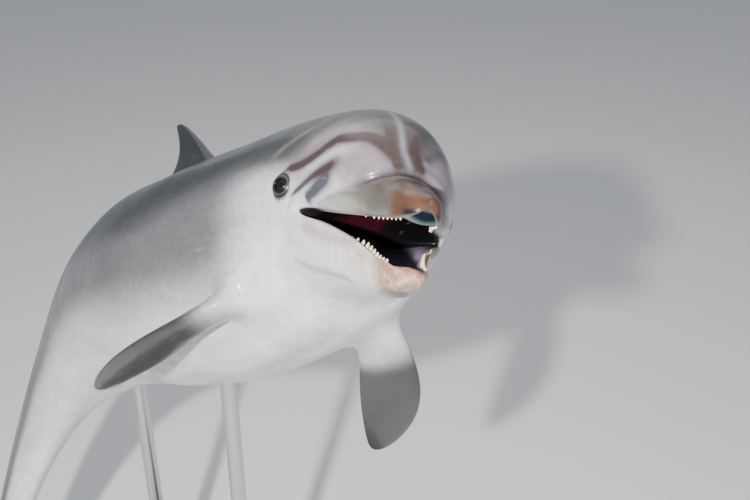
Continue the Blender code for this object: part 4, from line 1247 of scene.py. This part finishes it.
gloss = eye_finish()
enamel = grained("tooth_enamel", (320.0,), (0.38, 0.66), ((0.90, 0.84, 0.66), (0.74, 0.60, 0.38)),
                 (0.24, 0.42), (0.10, 0.0004), Coat_Weight=0.3, Coat_Roughness=0.15,
                 Subsurface_Weight=0.10, Subsurface_Scale=0.003)
wet_tongue = grained("wet_tongue", (180.0, 5.0), (0.34, 0.68),
                     ((0.130, 0.085, 0.140), (0.265, 0.140, 0.190)), (0.28, 0.44), (0.35, 0.0010),
                     Coat_Weight=0.6, Coat_Roughness=0.12, Subsurface_Weight=0.15, Subsurface_Scale=0.005)
for piece in eyeballs.values():
    wear(piece, gloss)
for piece in teeth:
    wear(piece, enamel)
wear(tongue, wet_tongue)
print("finishes:", [m.name for m in bpy.data.materials if m.users])

# %% [markdown]
# The stand is a workshop job: a thick steel plate and two turned sockets in satin powder coat, and two
# bright rods. Powder coat has a fine orange peel, and a brushed rod has streaks round it.

# %% The stand's metal


def brushed_rod():
    """Brushed steel, its streaks running round the upright rods."""
    finish = Finish("brushed_rod", Metallic=1.0)
    rings = finish.node("Mapping", Vector=finish.on_object, Scale=(1.0, 1.0, 60.0))["Vector"]
    streaks = finish.noise(30.0, 4.0, rings)
    finish.shade(Base_Color=finish.mixed(streaks, (0.48, 0.49, 0.51), (0.66, 0.67, 0.69)),
                 Roughness=finish.ranged(streaks, 0.3, 0.7, 0.22, 0.38))
    finish.bumped(streaks, 0.08, 0.0003)
    return finish.material


steel = brushed_rod()
painted = grained("powder_coat", (6.0, 6.0), (0.30, 0.75), ((0.040, 0.041, 0.044), (0.066, 0.067, 0.070)),
                  (0.42, 0.56), (0.18, 0.0006), relief=(900.0, 2.0), Metallic=0.0)
for name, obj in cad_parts.items():
    if name.startswith("stand_"):
        metal = steel if name.endswith("rod") else painted
        if not obj.material_slots:
            obj.data.materials.append(metal)
        for material_slot in obj.material_slots:
            material_slot.material = metal
print("stand pieces:", sorted(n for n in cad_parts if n.startswith("stand_")))

# %% [markdown]
# ## Putting it together
#
# The skin stands for every solid of flesh, the eyeballs and the tongue for theirs. All of it is one still
# body, so each piece rides on the same one.

# %% What stands for what
flesh = sorted(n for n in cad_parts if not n.startswith("stand_") and not n.endswith("_eye")
               and n != "tongue")
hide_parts(*flesh)
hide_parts("left_eye")
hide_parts("right_eye")
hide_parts("tongue")
for piece in (skin, tongue, *eyeballs.values(), *teeth):
    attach(piece, "root")
print("the skin stands for", len(flesh), "solids")

# %% [markdown]
# ## The studio
#
# A plain pale floor and four lights. The key light is small, so the wet skin shows it as a few small
# highlights. The one overhead is wide and weak and stands behind the head, so that its reflection doesn't
# cover the stripes. The fill looks into the mouth, and the rim light lifts the outline.

# %% Floor and lights
FLOOR_REACH = 20.0               # how far the floor runs each way
AIR, AIR_STRENGTH = (0.88, 0.92, 1.0), 0.36     # the light that comes from all round


def add_light(name, place_from_head, size, power, tone=(1.0, 1.0, 1.0)):
    """A square light that faces the head."""
    lamp = bpy.data.lights.new(name, "AREA")
    lamp.size, lamp.energy, lamp.color = size, power, tone
    obj = add_object(name, lamp)
    obj.location = head_place + Vector(place_from_head)
    obj.rotation_euler = (-Vector(place_from_head)).to_track_quat("-Z", "Y").to_euler()


bm = bmesh.new()
bmesh.ops.create_grid(bm, x_segments=1, y_segments=1, size=FLOOR_REACH)
floor = add_piece("floor", bm)
floor.data.materials.append(Finish("pale_floor", Roughness=0.75, Base_Color=(0.80, 0.81, 0.82)).material)

add_light("overhead", (1.5, 1.7, 2.2), 3.4, 48.0)
add_light("key", (-2.3, -1.2, 1.5), 0.13, 235.0, (1.0, 0.98, 0.95))
add_light("fill", (-0.5, -2.3, 0.2), 1.6, 24.0, (0.93, 0.96, 1.0))
add_light("rim", (1.7, 2.2, 0.1), 1.8, 3.0)
world = bpy.data.worlds.new("studio")
world.use_nodes = True
background = world.node_tree.nodes["Background"].inputs
background["Color"].default_value, background["Strength"].default_value = (*AIR, 1.0), AIR_STRENGTH
bpy.context.scene.world = world
